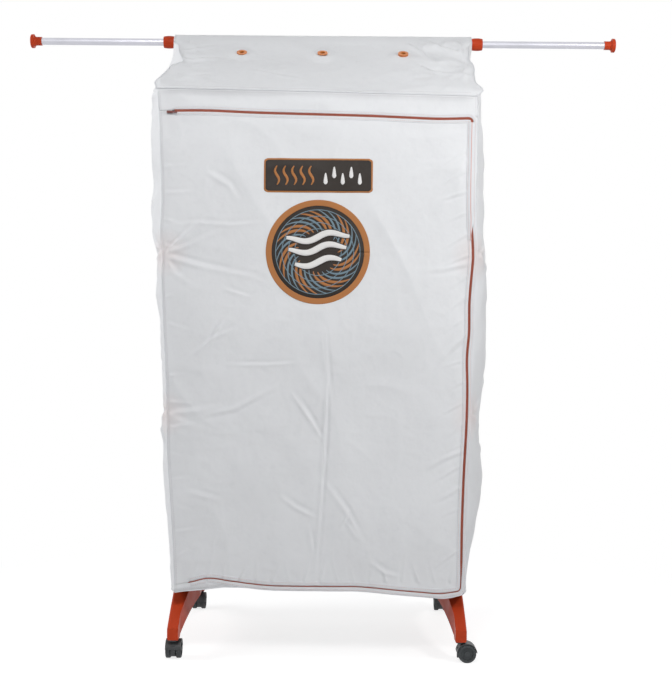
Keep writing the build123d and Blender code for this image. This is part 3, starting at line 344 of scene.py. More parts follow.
# %% Plastic and metal finishes
def moulded(name, colour, roughness, grain=900.0, depth=0.00006, worn=None, shine=0.5):
    """Moulded plastic: fine grain, slightly uneven gloss and colour. worn is the colour of rubbed places."""
    plastic, tree, shader = new_finish(name, colour, roughness, Specular_IOR_Level=shine)
    place = add_node(tree, "TexCoord").outputs["Object"]
    bumped(tree, shader, [(noise(tree, place, grain, 2.0), depth), (noise(tree, place, 22.0, 1.0), 0.0004)])
    gloss = between(tree, noise(tree, place, 35.0, 4.0, 0.6), 0.3, 0.7, roughness - 0.06, roughness + 0.10)
    tree.links.new(gloss, shader.inputs["Roughness"])
    patchy = between(tree, noise(tree, place, 12.0, 3.0), 0.3, 0.7)
    base = mixed(tree, patchy, colour, tuple(v * 0.88 for v in colour))
    if worn:
        rubbed = between(tree, noise(tree, place, 140.0, 5.0, 0.7), 0.60, 0.72, 0.0, 0.35)
        base = mixed(tree, rubbed, base, worn)
    tree.links.new(base, shader.inputs["Base Color"])
    return plastic


def drawn_metal(name, colour, roughness, stretch):
    """Metal with fine lines along the axis that stretch shortens."""
    metal, tree, shader = new_finish(name, colour, roughness, Metallic=1.0)
    place = add_node(tree, "TexCoord").outputs["Object"]
    lines = noise(tree, place, 1.0, 3.0, 0.6, stretch)
    tree.links.new(between(tree, lines, 0.3, 0.7, roughness - 0.07, roughness + 0.09), shader.inputs["Roughness"])
    bumped(tree, shader, [(lines, 0.00003)])
    handled = between(tree, noise(tree, place, 18.0, 4.0), 0.4, 0.7)
    tree.links.new(mixed(tree, handled, colour, tuple(v * 0.92 for v in colour)), shader.inputs["Base Color"])
    return metal


FINISHES = {
    "orange_plastic": moulded("orange_plastic", screen(194, 66, 32), 0.42, worn=screen(208, 88, 52), shine=0.15),
    "tube_aluminium": drawn_metal("tube_aluminium", screen(206, 206, 214), 0.34, (20, 1400, 1400)),
    "coated_steel": moulded("coated_rods", screen(228, 228, 226), 0.38, 400.0, 0.00003),
    "caster_plastic": moulded("caster_plastic", screen(52, 54, 56), 0.45, worn=screen(80, 82, 84)),
    "caster_tread": moulded("caster_tread", screen(58, 62, 64), 0.62, 600.0, 0.0001, worn=screen(96, 94, 90)),
    "cover_fabric": cover_nylon,
    "zip_metal": moulded(
        "zip_slider_lacquer", screen(110, 40, 30), 0.3, 300.0, 0.00002, worn=screen(150, 130, 120)
    ),
    "eyelet_plastic": moulded("eyelet_orange", screen(222, 132, 62), 0.30, 500.0, 0.00003),
    "screw_steel": drawn_metal("screw_zinc", screen(196, 196, 192), 0.36, (900, 900, 900)),
    "blower_plastic": moulded("blower_white", screen(230, 230, 228), 0.40),
    "dark_plastic": moulded("blower_dark", screen(66, 66, 70), 0.45, worn=screen(84, 84, 88)),
    "heater_aluminium": drawn_metal("heater_fins", screen(200, 200, 196), 0.42, (40, 900, 900)),
    "motor_steel": drawn_metal("motor_can", screen(150, 152, 156), 0.45, (900, 900, 60)),
    "impeller_plastic": moulded("impeller_black", screen(56, 56, 58), 0.4),
}
for part in frame["record"]["subparts"]:
    node, finish = frame["nodes"][part["node"]], FINISHES.get(part["material_slot"])
    if finish:
        for material_slot in node.material_slots:
            material_slot.material = finish
print("finishes", len(FINISHES), "on", len(frame["nodes"]), "nodes")

# %% [markdown]
# ## The lines that the cloth is cut to
# A sewn cover never hangs quite true. The left corner is drawn in where the rack's tiers
# press on it, the zip wanders, and the hem is lower at the right. Each of these lines is a
# smooth curve through a few measured points, in metres. The panels then share them, so
# that two panels always meet along the same line.


# %% Smooth lines
def through(*points):
    """A smooth curve through (place, value) pairs, as a function of the place."""
    place, value = np.array(points, float).T
    slope = np.gradient(value, place)

    def curve(at):
        at = np.clip(at, place[0], place[-1])
        i = np.clip(np.searchsorted(place, at) - 1, 0, len(place) - 2)
        gap = place[i + 1] - place[i]
        t = (at - place[i]) / gap
        rise = slope[i] * gap * t * (1 - t) ** 2 + slope[i + 1] * gap * t * t * (t - 1)
        return value[i] * (1 + 2 * t) * (1 - t) ** 2 + value[i + 1] * t * t * (3 - 2 * t) + rise

    return curve


left_corner_x = through(
    (0.130, -0.3175), (0.248, -0.322), (0.339, -0.328), (0.475, -0.337), (0.540, -0.338), (0.602, -0.340),
    (0.705, -0.345), (0.794, -0.350), (0.860, -0.352), (0.893, -0.3505), (0.930, -0.355), (1.017, -0.353),
    (1.100, -0.356), (1.200, -0.360), (1.275, -0.366),
)
right_corner_x = through(
    (0.130, 0.3240), (0.300, 0.3295), (0.390, 0.3320), (0.530, 0.3370), (0.680, 0.3400), (0.800, 0.3440),
    (0.893, 0.3490), (0.966, 0.3470), (1.100, 0.3490), (1.200, 0.3500), (1.275, 0.3470),
)
zip_side_x = through(
    (0.130, 0.3170), (0.171, 0.3190), (0.300, 0.3205), (0.389, 0.3230), (0.450, 0.3255), (0.527, 0.3290),
    (0.600, 0.3300), (0.680, 0.3290), (0.720, 0.3325), (0.800, 0.3335), (0.840, 0.3365), (0.893, 0.3405),
    (0.966, 0.3365), (1.000, 0.3350), (1.100, 0.3350), (1.215, 0.3370),
)
zip_top_z = through(
    (-0.365, 1.2150), (-0.344, 1.2155), (-0.250, 1.2165), (-0.170, 1.2135), (0.000, 1.2095), (0.100, 1.2075),
    (0.200, 1.2040), (0.260, 1.2020), (0.321, 1.2035), (0.365, 1.2050),
)
zip_foot_z = through(
    (-0.320, 0.1590), (-0.286, 0.1650), (-0.245, 0.1750), (-0.200, 0.1700), (-0.130, 0.1610), (-0.005, 0.1595),
    (0.100, 0.1580), (0.165, 0.1530), (0.225, 0.1475), (0.270, 0.1450), (0.300, 0.1480), (0.330, 0.1530),
)
hem_front_z = through(
    (-0.318, 0.1430), (-0.260, 0.1495), (-0.200, 0.1555), (-0.150, 0.1540), (-0.077, 0.1515), (0.000, 0.1520),
    (0.100, 0.1510), (0.165, 0.1460), (0.225, 0.1395), (0.289, 0.1350), (0.325, 0.1430),
)
eaves_front_z = through((-0.365, 1.2660), (-0.200, 1.2635), (0.000, 1.2600), (0.200, 1.2560), (0.352, 1.2535))


def straight_corner_x(z):
    """Half width of the rear wall, which hangs true."""
    return HEM_X + (EAVES_X - HEM_X) * (z - HEM_Z) / (EAVES_Z - HEM_Z)


print("door about", round(float(zip_side_x(0.7) - left_corner_x(0.7)), 3), "m wide")

# %% [markdown]
# ## Folds and wrinkles
# Thin coated nylon shows three kinds of shape. It billows, because warm air pushes it out
# between the tiers of the rack. It has sharp creases, left from when it was packed flat
# or pulled by a corner. And it is rumpled all over by a millimetre or so. A cloth
# simulation gives the first and some of the third, but never the creases of one real
# cover, so all three are heights added to a smooth wall: billows by a curve, creases as
# lines with a height and a width, and the rumple from a grid of seeded random values.


# %% Wrinkle tools
LAYERS, CELLS = 8, 97
grid_values = np.random.default_rng(41).uniform(-1, 1, (LAYERS, CELLS, CELLS))


def rumple(u, v, size, layer=0):
    """Smooth random heights between -1 and 1, with bumps about as wide as size, in metres."""
    table = grid_values[layer % LAYERS]
    a, b = u / size + 17.3, v / size + 5.7
    i, j = np.floor(a).astype(int), np.floor(b).astype(int)
    s, t = a - i, b - j
    s, t = s * s * s * (s * (6 * s - 15) + 10), t * t * t * (t * (6 * t - 15) + 10)
    i0, i1, j0, j1 = i % CELLS, (i + 1) % CELLS, j % CELLS, (j + 1) % CELLS
    low = table[i0, j0] * (1 - s) + table[i1, j0] * s
    high = table[i0, j1] * (1 - s) + table[i1, j1] * s
    return low * (1 - t) + high * t


def crumple(u, v, size, layer=0):
    """Sharp ridges and soft hollows, as in crushed coated cloth, between 0 and 1."""
    turn_u = u + size * 0.6 * rumple(u, v, size * 1.7, layer + 1)
    turn_v = v + size * 0.6 * rumple(u, v, size * 1.9, layer + 2)
    return 1 - np.abs(rumple(turn_u, turn_v, size, layer))


def crease(u, v, line, height, width, ends="both"):
    """A fold along a line of (u, v) points: a ridge beside a hollow. ends says where it fades out."""
    points = np.array(line, float)
    lengths = np.hypot(*np.diff(points, axis=0).T)
    total, run = lengths.sum(), 0.0
    nearest, along, side = np.full(u.shape, 1e9), np.zeros(u.shape), np.ones(u.shape)
    for (a, b), length in zip(zip(points[:-1], points[1:]), lengths):
        direction = (b - a) / length
        du, dv = u - a[0], v - a[1]
        t = np.clip(du * direction[0] + dv * direction[1], 0, length)
        gap = np.hypot(du - t * direction[0], dv - t * direction[1])
        closer = gap < nearest
        nearest = np.where(closer, gap, nearest)
        along = np.where(closer, (run + t) / total, along)
        side = np.where(closer, np.sign(du * direction[1] - dv * direction[0]), side)
        run += length
    fade = {"both": np.sin(np.pi * np.clip(along, 0, 1)), "far": (1 - along) ** 1.2}[ends]
    flank = side * nearest / width
    return height * fade * (np.exp(-(flank**2)) - 0.75 * np.exp(-((flank + 1.5) ** 2)))


def all_creases(u, v, folds):
    """Height of a list of creases, each (line, height in mm, width in mm, ends), at (u, v)."""
    return sum(crease(u, v, line, height * MM, width * MM, ends) for line, height, width, ends in folds)


def scattered_folds(seed, low, high, count):
    """Slanting creases at seeded places between the corners low and high, as packing leaves them."""
    pick, folds = np.random.default_rng(seed), []
    for _ in range(count):
        start, turn = pick.uniform(low, high), pick.choice([-1, 1]) * pick.uniform(0.4, 1.4)
        along = np.array([math.cos(turn), math.sin(turn)])
        across = np.array([-along[1], along[0]])
        end = start + along * pick.uniform(0.05, 0.17)
        middle = (start + end) / 2 + across * pick.uniform(-0.012, 0.012)
        folds.append(([start, middle, end], pick.uniform(1.8, 4.2), pick.uniform(4.5, 7.5), "both"))
    return folds


print("wrinkle grid", grid_values.shape)

# %% [markdown]
# ## The front wall
# The front wall is one drawn surface, and the door, the band over it, the stile beside the
# zip and the hem below are cut from it. Its depth at any place is the billow between the
# tiers, plus the creases. The zip's long run is stiffer than the cloth, so the creases
# fade out towards it, and towards every sewn edge.

# %% Depth of the front wall
door_billow = through(
    (0.13, 0.001), (0.34, 0.007), (0.54, 0.003), (0.72, 0.009), (0.90, 0.003), (1.09, 0.007), (1.19, 0.0025),
    (1.215, 0.001), (1.27, 0.000)
)
FRONT_CREASES = [
    # Packed-flat folds: one long vertical, a short one above it, and two across
    ([(0.000, 0.752), (0.017, 0.620), (0.012, 0.485), (0.005, 0.350), (-0.007, 0.170)], 4.0, 3.6, "both"),
    ([(0.010, 0.745), (0.027, 0.560)], 2.7, 3.1, "both"),
    ([(-0.012, 1.253), (-0.010, 1.176)], 1.6, 3.1, "both"),
    ([(-0.212, 0.651), (-0.120, 0.651), (-0.045, 0.656)], 2.2, 3.9, "both"),
    ([(-0.344, 0.960), (-0.270, 0.966), (-0.200, 0.961), (-0.120, 0.968)], 1.6, 4.7, "both"),
    # Rays from the two places where the left corner is held by a tier
    ([(-0.352, 0.893), (-0.300, 0.940), (-0.240, 0.992)], 7.1, 5.5, "far"),
    ([(-0.352, 0.893), (-0.290, 0.918), (-0.215, 0.952)], 5.8, 5.5, "far"),
    ([(-0.352, 0.893), (-0.262, 0.868), (-0.150, 0.846), (-0.100, 0.822)], 5.4, 6.2, "far"),
    ([(-0.352, 0.893), (-0.320, 0.850), (-0.270, 0.815)], 3.6, 6.2, "far"),
    ([(-0.340, 0.540), (-0.270, 0.548), (-0.200, 0.560)], 4.0, 7.0, "far"),
    ([(-0.340, 0.540), (-0.290, 0.515), (-0.230, 0.500)], 2.8, 7.0, "far"),
    # Slanting creases over the door's middle and foot
    ([(-0.088, 0.607), (-0.188, 0.552), (-0.266, 0.536)], 2.8, 5.5, "both"),
    ([(-0.066, 0.596), (-0.020, 0.530), (0.012, 0.480)], 3.6, 3.9, "both"),
    ([(-0.050, 0.585), (-0.004, 0.515)], 2.2, 3.1, "both"),
    ([(-0.088, 0.362), (-0.050, 0.335), (0.000, 0.310)], 3.1, 4.7, "both"),
    ([(0.012, 0.395), (0.060, 0.330), (0.102, 0.250)], 3.1, 5.5, "both"),
    ([(0.055, 0.315), (0.090, 0.262)], 2.5, 3.9, "both"),
    ([(0.070, 0.330), (0.048, 0.290)], 2.2, 3.9, "both"),
    ([(-0.022, 0.300), (-0.012, 0.232)], 2.8, 3.9, "both"),
    ([(0.112, 0.218), (0.150, 0.190), (0.185, 0.182)], 2.8, 4.7, "both"),
    ([(-0.300, 0.370), (-0.215, 0.348)], 1.8, 6.2, "both"),
    ([(-0.245, 0.700), (-0.212, 0.750)], 3.1, 4.7, "both"),
    ([(-0.290, 0.665), (-0.232, 0.712), (-0.180, 0.735)], 2.8, 4.7, "both"),
    ([(-0.215, 0.820), (-0.150, 0.800)], 2.2, 3.9, "both"),
    ([(-0.262, 1.085), (-0.205, 1.050), (-0.180, 1.010)], 2.5, 6.2, "both"),
    # Drawn towards the zip on the right
    ([(0.325, 0.720), (0.290, 0.690), (0.255, 0.635)], 3.6, 6.2, "far"),
    ([(0.328, 0.880), (0.270, 0.866), (0.200, 0.862)], 2.8, 5.5, "far"),
    ([(0.318, 0.462), (0.280, 0.446), (0.225, 0.415)], 4.0, 5.5, "far"),
    ([(0.316, 0.380), (0.270, 0.356), (0.240, 0.350)], 2.5, 5.5, "far"),
    ([(0.322, 1.110), (0.280, 1.060), (0.235, 1.000)], 2.5, 7.0, "far"),
]
# Short wrinkles drawn towards the zip, the left corner and the hem, a few centimetres apart
pull = np.random.default_rng(7)
for z in np.arange(0.24, 1.17, 0.047):
    x, reach, fall = float(zip_side_x(z)) - 0.012, pull.uniform(0.035, 0.075), pull.uniform(0.015, 0.050)
    FRONT_CREASES.append(([(x, z), (x - reach, z - fall)], pull.uniform(1.2, 2.8), pull.uniform(2.8, 4.2), "far"))
for z in np.arange(0.22, 1.20, 0.058):
    x, reach, rise = float(left_corner_x(z)) + 0.006, pull.uniform(0.03, 0.08), pull.uniform(-0.03, 0.035)
    FRONT_CREASES.append(([(x, z), (x + reach, z + rise)], pull.uniform(0.9, 2.2), pull.uniform(3.0, 4.6), "far"))
for x in np.arange(-0.28, 0.30, 0.036):
    top, lean = pull.uniform(0.20, 0.245), pull.uniform(-0.02, 0.02)
    FRONT_CREASES.append(([(x, 0.172), (x + lean, top)], pull.uniform(1.0, 2.6), pull.uniform(2.6, 4.0), "far"))


EAVES_LIP = 0.006  # the seam folded under the eaves pushes the cloth forward in a narrow lip
SEAM_REACH = 0.02  # creases fade out this near to a sewn edge
ZIP_REACH = 0.03  # and this near to the zip, which is stiffer than the cloth


def smooth_step(t):
    t = np.clip(t, 0, 1)
    return t * t * (3 - 2 * t)


def front_height(x, z):
    """How far the front wall stands forward of its corners."""
    left, right = left_corner_x(z), right_corner_x(z)
    across = np.clip((x - left) / (right - left), 0, 1)
    from_corner = np.minimum(x - left, right - x)
    from_top = np.abs(z - eaves_front_z(x))
    billow = door_billow(z) * np.clip(4 * across * (1 - across), 0, 1) ** 0.7
    held = smooth_step(from_corner / SEAM_REACH) * smooth_step(from_top / SEAM_REACH)
    by_side = smooth_step(np.abs(x - zip_side_x(z)) / ZIP_REACH)
    by_top = smooth_step(np.abs(z - zip_top_z(x)) / ZIP_REACH)
    loose = (0.35 + 0.65 * by_side) * (0.12 + 0.88 * by_top)
    by_zip = by_side * by_top
    small = 2.3 * MM * (crumple(x, z, 0.085, 1) - 0.5) + 0.7 * MM * (crumple(x, z, 0.034, 4) - 0.5)
    leaning_x, leaning_z = 0.85 * x + 0.5 * z, 0.6 * (0.85 * z - 0.5 * x)
    slack = 4.0 * MM * rumple(x, z, 0.13, 2) + 4.5 * MM * (crumple(leaning_x, leaning_z, 0.11, 6) - 0.5)
    folds = all_creases(x, z, FRONT_CREASES)
    hem_wave = 0.005 * rumple(x, z * 0.2, 0.06, 5) * smooth_step((0.26 - z) / 0.1)
    lip = EAVES_LIP * smooth_step(1 - from_top / 0.014) * smooth_step(from_corner / 0.03)
    return lip + billow + held * (loose * (small + slack) + (0.25 + 0.75 * by_zip) * folds + hem_wave)


def front_points(x, z, lift=0.0):
    """The front wall's points at (x, z), with lift metres added outwards."""
    return np.stack([x, -COVER_Y - front_height(x, z) - lift, z], -1)


probe_x, probe_z = np.meshgrid(np.linspace(-0.3, 0.3, 40), np.linspace(0.2, 1.2, 60))
print("front wall stands out", round(float(front_height(probe_x, probe_z).max()) / MM, 1), "mm at most")

# %% [markdown]
# ## Making a panel
# A panel is a grid of points turned into a mesh, with each point a few millimetres from
# the next, so that the sharp creases survive. The cloth gets a real thickness from
# Solidify, and a map in metres, so that stitches and weave can be told how large to be.
# Subdivision would round the creases off, so the grid is simply fine enough.

# %% Panel maker
CLOTH_T = 0.0006


def panel_mesh(name, rows, material=cover_nylon, thickness=CLOTH_T, drop=None):
    """A sheet through rows of points, shape (rows, columns, 3). drop marks quads that are left out."""
    count, width = rows.shape[:2]
    index = np.arange(count * width).reshape(count, width)
    quads = np.stack([index[:-1, :-1], index[:-1, 1:], index[1:, 1:], index[1:, :-1]], -1).reshape(-1, 4)
    if drop is not None:
        quads = quads[~drop.reshape(-1)]
    mesh = bpy.data.meshes.new(name)
    mesh.from_pydata(rows.reshape(-1, 3).tolist(), [], quads.tolist())
    step_u = np.linalg.norm(np.diff(rows, axis=1), axis=2).mean(0)
    step_v = np.linalg.norm(np.diff(rows, axis=0), axis=2).mean(1)
    u = np.concatenate([[0], np.cumsum(step_u)])[None, :] + np.zeros((count, 1))
    v = np.concatenate([[0], np.cumsum(step_v)])[:, None] + np.zeros((1, width))
    layer = mesh.uv_layers.new(name="metres")
    corner = np.empty(len(mesh.loops), np.int32)
    mesh.loops.foreach_get("vertex_index", corner)
    layer.data.foreach_set("uv", np.stack([u.ravel()[corner], v.ravel()[corner]], -1).astype(np.float32).ravel())
    mesh.polygons.foreach_set("use_smooth", np.ones(len(mesh.polygons), bool))
    panel = new_object(name, mesh)
    if drop is not None:
        body = bmesh.new()
        body.from_mesh(mesh)
        bmesh.ops.delete(body, geom=[v for v in body.verts if not v.link_faces], context="VERTS")
        body.to_mesh(mesh)
        body.free()
    mesh.materials.append(material)
    if thickness:
        solid = panel.modifiers.new("thickness", "SOLIDIFY")
        solid.thickness, solid.offset = thickness, 0
    return panel


def patch(left, right, foot, top, step=0.004):
    """A grid of (x, z) that fills the shape between four lines; left and right take z, foot and top take x."""
    middle_z = float(np.mean([foot(0.0), top(0.0)]))
    width = float(right(middle_z) - left(middle_z))
    middle_x = float(right(middle_z) + left(middle_z)) / 2
    tall = float(top(middle_x) - foot(middle_x))
    a, b = np.meshgrid(
        np.linspace(0, 1, max(2, int(width / step) + 1)), np.linspace(0, 1, max(2, int(tall / step) + 1))
    )
    x, z = left(middle_z) + a * width, foot(middle_x) + b * tall
    for _ in range(4):
        x = left(z) * (1 - a) + right(z) * a
        z = foot(x) * (1 - b) + top(x) * b
    return x, z


ZIP_HALF = 0.0031
FOOT_SHARE = 0.45  # along the foot the folded edges lie closer, so less of the zip shows
ZIP_TOP_START, ZIP_FOOT_START = -0.329, -0.288


def top_gap(x):
    """Half the opening along the door's top, which closes where the zip starts."""
    return ZIP_HALF * smooth_step((x - ZIP_TOP_START + 0.004) / 0.008)


def foot_gap(x):
    """The same along the door's foot."""
    return ZIP_HALF * FOOT_SHARE * smooth_step((x - ZIP_FOOT_START + 0.004) / 0.008)


door_x, door_z = patch(
    left_corner_x, lambda z: zip_side_x(z) - ZIP_HALF,
    lambda x: zip_foot_z(x) + foot_gap(x), lambda x: zip_top_z(x) - top_gap(x), 0.0032,
)
door = panel_mesh("door", front_points(door_x, door_z))
print("door panel", door_x.shape, "points")

# %% The band, the stile and the hem
band_x, band_z = patch(left_corner_x, right_corner_x, lambda x: zip_top_z(x) + top_gap(x), eaves_front_z)
band = panel_mesh("front_band", front_points(band_x, band_z))
stile_x, stile_z = patch(
    lambda z: zip_side_x(z) + ZIP_HALF, right_corner_x, hem_front_z, lambda x: zip_top_z(x) + ZIP_HALF
)
stile = panel_mesh("front_stile", front_points(stile_x, stile_z))
hem_x, hem_z = patch(
    left_corner_x, lambda z: zip_side_x(z) + ZIP_HALF, hem_front_z, lambda x: zip_foot_z(x) - foot_gap(x), 0.0035
)
hem = panel_mesh("front_hem", front_points(hem_x, hem_z))
print("band, stile and hem", band_x.shape, stile_x.shape, hem_x.shape)

# %% [markdown]
# ## The side walls and gables
# Each side is one piece of cloth from the hem to the ridge: a tall wall and, over it, the
# gable under the roof. Warm air swells the walls out by up to five centimetres, most
# between the tiers, and the gable is creased because nothing holds it between the ridge
# tube and the top corner. The left gable is drawn in by a deep fold.

# %% Swell of the sides
left_swell = through(
    (0.13, 0.012), (0.20, 0.020), (0.33, 0.024), (0.475, 0.027), (0.54, 0.027), (0.65, 0.029), (0.73, 0.026),
    (0.80, 0.032), (0.89, 0.027), (0.98, 0.042), (1.10, 0.040), (1.20, 0.038), (1.28, 0.018),
)
right_swell = through(
    (0.13, 0.011), (0.18, 0.012), (0.23, 0.021), (0.29, 0.038), (0.33, 0.047), (0.42, 0.044), (0.52, 0.036),
    (0.62, 0.047), (0.735, 0.051), (0.83, 0.046), (0.92, 0.036), (1.045, 0.028), (1.14, 0.022), (1.19, 0.018),
    (1.22, 0.012), (1.257, 0.002), (1.28, 0.002),
)
left_gable_x = through(
    (1.255, -0.3655), (1.262, -0.3670), (1.272, -0.3700), (1.284, -0.3745), (1.300, -0.3667), (1.322, -0.3548),
    (1.342, -0.3420), (1.3515, -0.3240), (1.3614, -0.3270), (1.388, -0.3385), (1.413, -0.3450), (1.425, -0.3510),
    (1.450, -0.3570),
)
right_gable_x = through(
    (1.250, 0.3470), (1.2600, 0.3515), (1.268, 0.3620), (1.278, 0.3605), (1.290, 0.3515), (1.3125, 0.3490),
    (1.340, 0.3515), (1.352, 0.3500), (1.367, 0.3430), (1.390, 0.3450), (1.413, 0.3475), (1.425, 0.3520),
    (1.450, 0.3570),
)


def slope_angle(eaves):
    """Steepness of a roof slope that runs from eaves up to the round over the ridge."""
    fall = RIDGE_Z - eaves
    return np.arctan2(fall, COVER_Y) + np.arcsin(RIDGE_ROUND / np.hypot(fall, COVER_Y))


def roof_z(y, eaves):
    """Height of the roof at a depth y, with the eaves at that height."""
    angle = slope_angle(eaves)
    straight = RIDGE_Z + RIDGE_ROUND / np.cos(angle) - np.abs(y) * np.tan(angle)
    rounded = RIDGE_Z + np.sqrt(np.maximum(RIDGE_ROUND**2 - y * y, 0))
    return np.where(np.abs(y) < RIDGE_ROUND * np.sin(angle), rounded, straight)


def roof_edge_x(side, y, z):
    """Where the roof is sewn to a side: creased on the front slope, true at the rear, tight at the ridge tube."""
    rear = smooth_step((y + 0.02) / 0.04)
    gable = (left_gable_x if side < 0 else right_gable_x)(z)
    edge = gable * (1 - rear) + side * (EAVES_X - 0.002) * rear
    loose = smooth_step((np.hypot(y, z - RIDGE_Z) - 0.02) / 0.04)
    return edge * loose + side * (EAVES_X - 0.0005) * (1 - loose)


# Each tier's arms press on the four corners, and folds run from there across the sides
SIDE_CREASES = {}
for side in (-1, 1):
    SIDE_CREASES[side] = scattered_folds(30 + side, (-0.19, 0.20), (0.10, 1.18), 17)
    SIDE_CREASES[side].append(([(0.02 * side, 1.24), (0.01, 0.90), (-0.012, 0.55), (0.004, 0.18)], 3.2, 4.5, "both"))
    for tier_z in TIERS:
        for corner_y, inwards in ((-COVER_Y, 1), (COVER_Y, -1)):
            for reach, fall in ((0.12, -0.085), (0.15, -0.030), (0.10, 0.060)):
                start = (corner_y + inwards * 0.012, tier_z)
                end = (corner_y + inwards * reach, tier_z + fall - 0.01 * side)
                SIDE_CREASES[side].append(([start, end], 5.0, 6.0, "far"))
print("side creases", len(SIDE_CREASES[1]), "on each side")
SIDE_ROWS, GABLE_ROWS = 240, 45
TUBE_HOLE_R = (tube_high.z - tube_low.z) / 2 + MM
FRONT_CORNERS = {-1: (-0.318, -0.365), 1: (0.325, 0.352)}  # x at the hem and at the eaves


def side_sheet(side, step=0.0045):
    """Points of one side, from the hem at the first row to the ridge at the last. side is -1 left, 1 right."""
    corner, swell = (left_corner_x, left_swell) if side < 0 else (right_corner_x, right_swell)
    hem_x, eaves_x = FRONT_CORNERS[side]
    hem_corner, eaves_corner = float(hem_front_z(hem_x)), float(eaves_front_z(eaves_x))
    v = np.linspace(0, 1, int(2 * COVER_Y / step) + 1)
    y = -COVER_Y + 2 * COVER_Y * v
    hem_line = hem_corner * (1 - v) + HEM_Z * v + 0.006 * np.sin(math.pi * v) * rumple(y, y * 0, 0.09, 3)
    eaves_line = eaves_corner * (1 - v) + EAVES_Z * v
    wall = np.linspace(0, 1, SIDE_ROWS)[:, None]
    z = hem_line * (1 - wall) + eaves_line * wall
    yy = y + 0 * z
    vv = v + 0 * z
    base = corner(z) * (1 - vv) + side * straight_corner_x(z) * vv
    round_out = np.clip(4 * vv * (1 - vv), 0, 1) ** 0.75
    held = smooth_step(np.minimum(vv, 1 - vv) / 0.07)
    turn = yy + 0.04 * side
    puckers = 0.0035 * crumple(turn, z, 0.075, 3) + 0.003 * rumple(turn, z, 0.05, 6)
    drapes = 0.004 * np.sin(yy / 0.034 + 1.4 * rumple(turn, z, 0.2, 7)) * smooth_step(np.abs(z - 0.72) / 0.4)
    out = swell(z) * round_out + held * (puckers + drapes + all_creases(yy, z, SIDE_CREASES[side]))
    x = base + side * out
    share = np.linspace(0, 1, GABLE_ROWS + 1)[1:, None]
    top = roof_z(y, eaves_line)
    gz = eaves_line * (1 - share) + top * share
    gv = v + 0 * gz
    inner = np.clip(4 * gv * (1 - gv), 0, 1) ** 0.5 * np.sin(math.pi * share)
    soft = 0.010 * rumple(y + 0 * gz, gz, 0.06, 2) + 0.004 * crumple(y + 0 * gz, gz, 0.04, 5)
    gx = x[-1] * (1 - share) + roof_edge_x(side, y, top) * share + side * soft * inner
    near_tube = smooth_step((np.hypot(y, gz - RIDGE_Z) - 0.02) / 0.04)
    gx = gx * near_tube + side * (EAVES_X + 0.0002) * (1 - near_tube)
    return np.stack([np.concatenate([x, gx]), np.concatenate([yy, y + 0 * gz]), np.concatenate([z, gz])], -1)


def round_hole(rows, centre, radius):
    """Draws the grid points round a hole onto its circle. Returns the rows and the quads to leave out."""
    middle = (rows[:-1, :-1] + rows[1:, 1:]) / 2
    drop = np.linalg.norm(middle - np.array(centre), axis=-1) < radius
    inside = np.zeros(rows.shape[:2], bool)
    kept = np.zeros(rows.shape[:2], bool)
    for rows_from in (slice(None, -1), slice(1, None)):
        for columns_from in (slice(None, -1), slice(1, None)):
            inside[rows_from, columns_from] |= drop
            kept[rows_from, columns_from] |= ~drop
    rim = inside & kept
    spoke = rows[rim] - np.array(centre)
    rows[rim] = centre + spoke / np.linalg.norm(spoke, axis=-1, keepdims=True) * radius
    return rows, drop


left_rows, left_hole = round_hole(side_sheet(-1), (-EAVES_X, 0, RIDGE_Z), TUBE_HOLE_R)
right_rows, right_hole = round_hole(side_sheet(1), (EAVES_X, 0, RIDGE_Z), TUBE_HOLE_R)
left_side = panel_mesh("left_side", left_rows, drop=left_hole)
right_side = panel_mesh("right_side", right_rows, drop=right_hole)
print("sides reach x", [round(float(x), 3) for x in (left_rows[..., 0].min(), right_rows[..., 0].max())])

# %% [markdown]
# ## The back wall
# The back is plain: one sheet, held at its corners and by the eaves, with shallow billows.

# %% Back wall
back_billow = through(
    (0.15, 0.006), (0.37, 0.015), (0.54, 0.005), (0.71, 0.014), (0.90, 0.004), (1.09, 0.012), (1.27, 0.0)
)
BACK_CREASES = scattered_folds(52, (-0.28, 0.18), (0.24, 1.16), 22) + [
    ([(-0.010, 1.200), (0.005, 0.700), (-0.004, 0.200)], 3.4, 4.5, "both"),
    ([(-0.300, 0.680), (-0.020, 0.672), (0.290, 0.684)], 2.8, 4.5, "both"),
]


def back_sheet(step=0.0050):
    a, b = np.meshgrid(np.linspace(-1, 1, int(0.7 / step)), np.linspace(0, 1, int(1.1 / step)))
    foot = HEM_Z + 0.004 * rumple(a * 0.35, a * 0, 0.1, 4) * (1 - a * a)
    z = foot * (1 - b) + EAVES_Z * b
    x = a * straight_corner_x(z)
    held = smooth_step((1 - np.abs(a)) / 0.05) * smooth_step((EAVES_Z - z) / 0.02)
    out = back_billow(z) * (1 - a * a) ** 0.7
    large = 0.003 * crumple(x, z, 0.09, 6) + 0.004 * rumple(x, z, 0.13, 1)
    out = out + held * (large + 0.0015 * crumple(x, z, 0.035, 2))
    out = out + held * all_creases(x, z, BACK_CREASES)
    return np.stack([-x, COVER_Y + out, z], -1)


back = panel_mesh("back_wall", back_sheet())
print("back wall made")

# %% [markdown]
# ## The roof
# One sheet goes from the front eaves, over the ridge tube, to the rear eaves. It follows
# the tube's round at the top, sags a little on each slope, and is crumpled near its right
# end. The three vents are holes in the front slope, so the quads there are left out and
# the edge of each hole is drawn to a circle under the vent's ring.

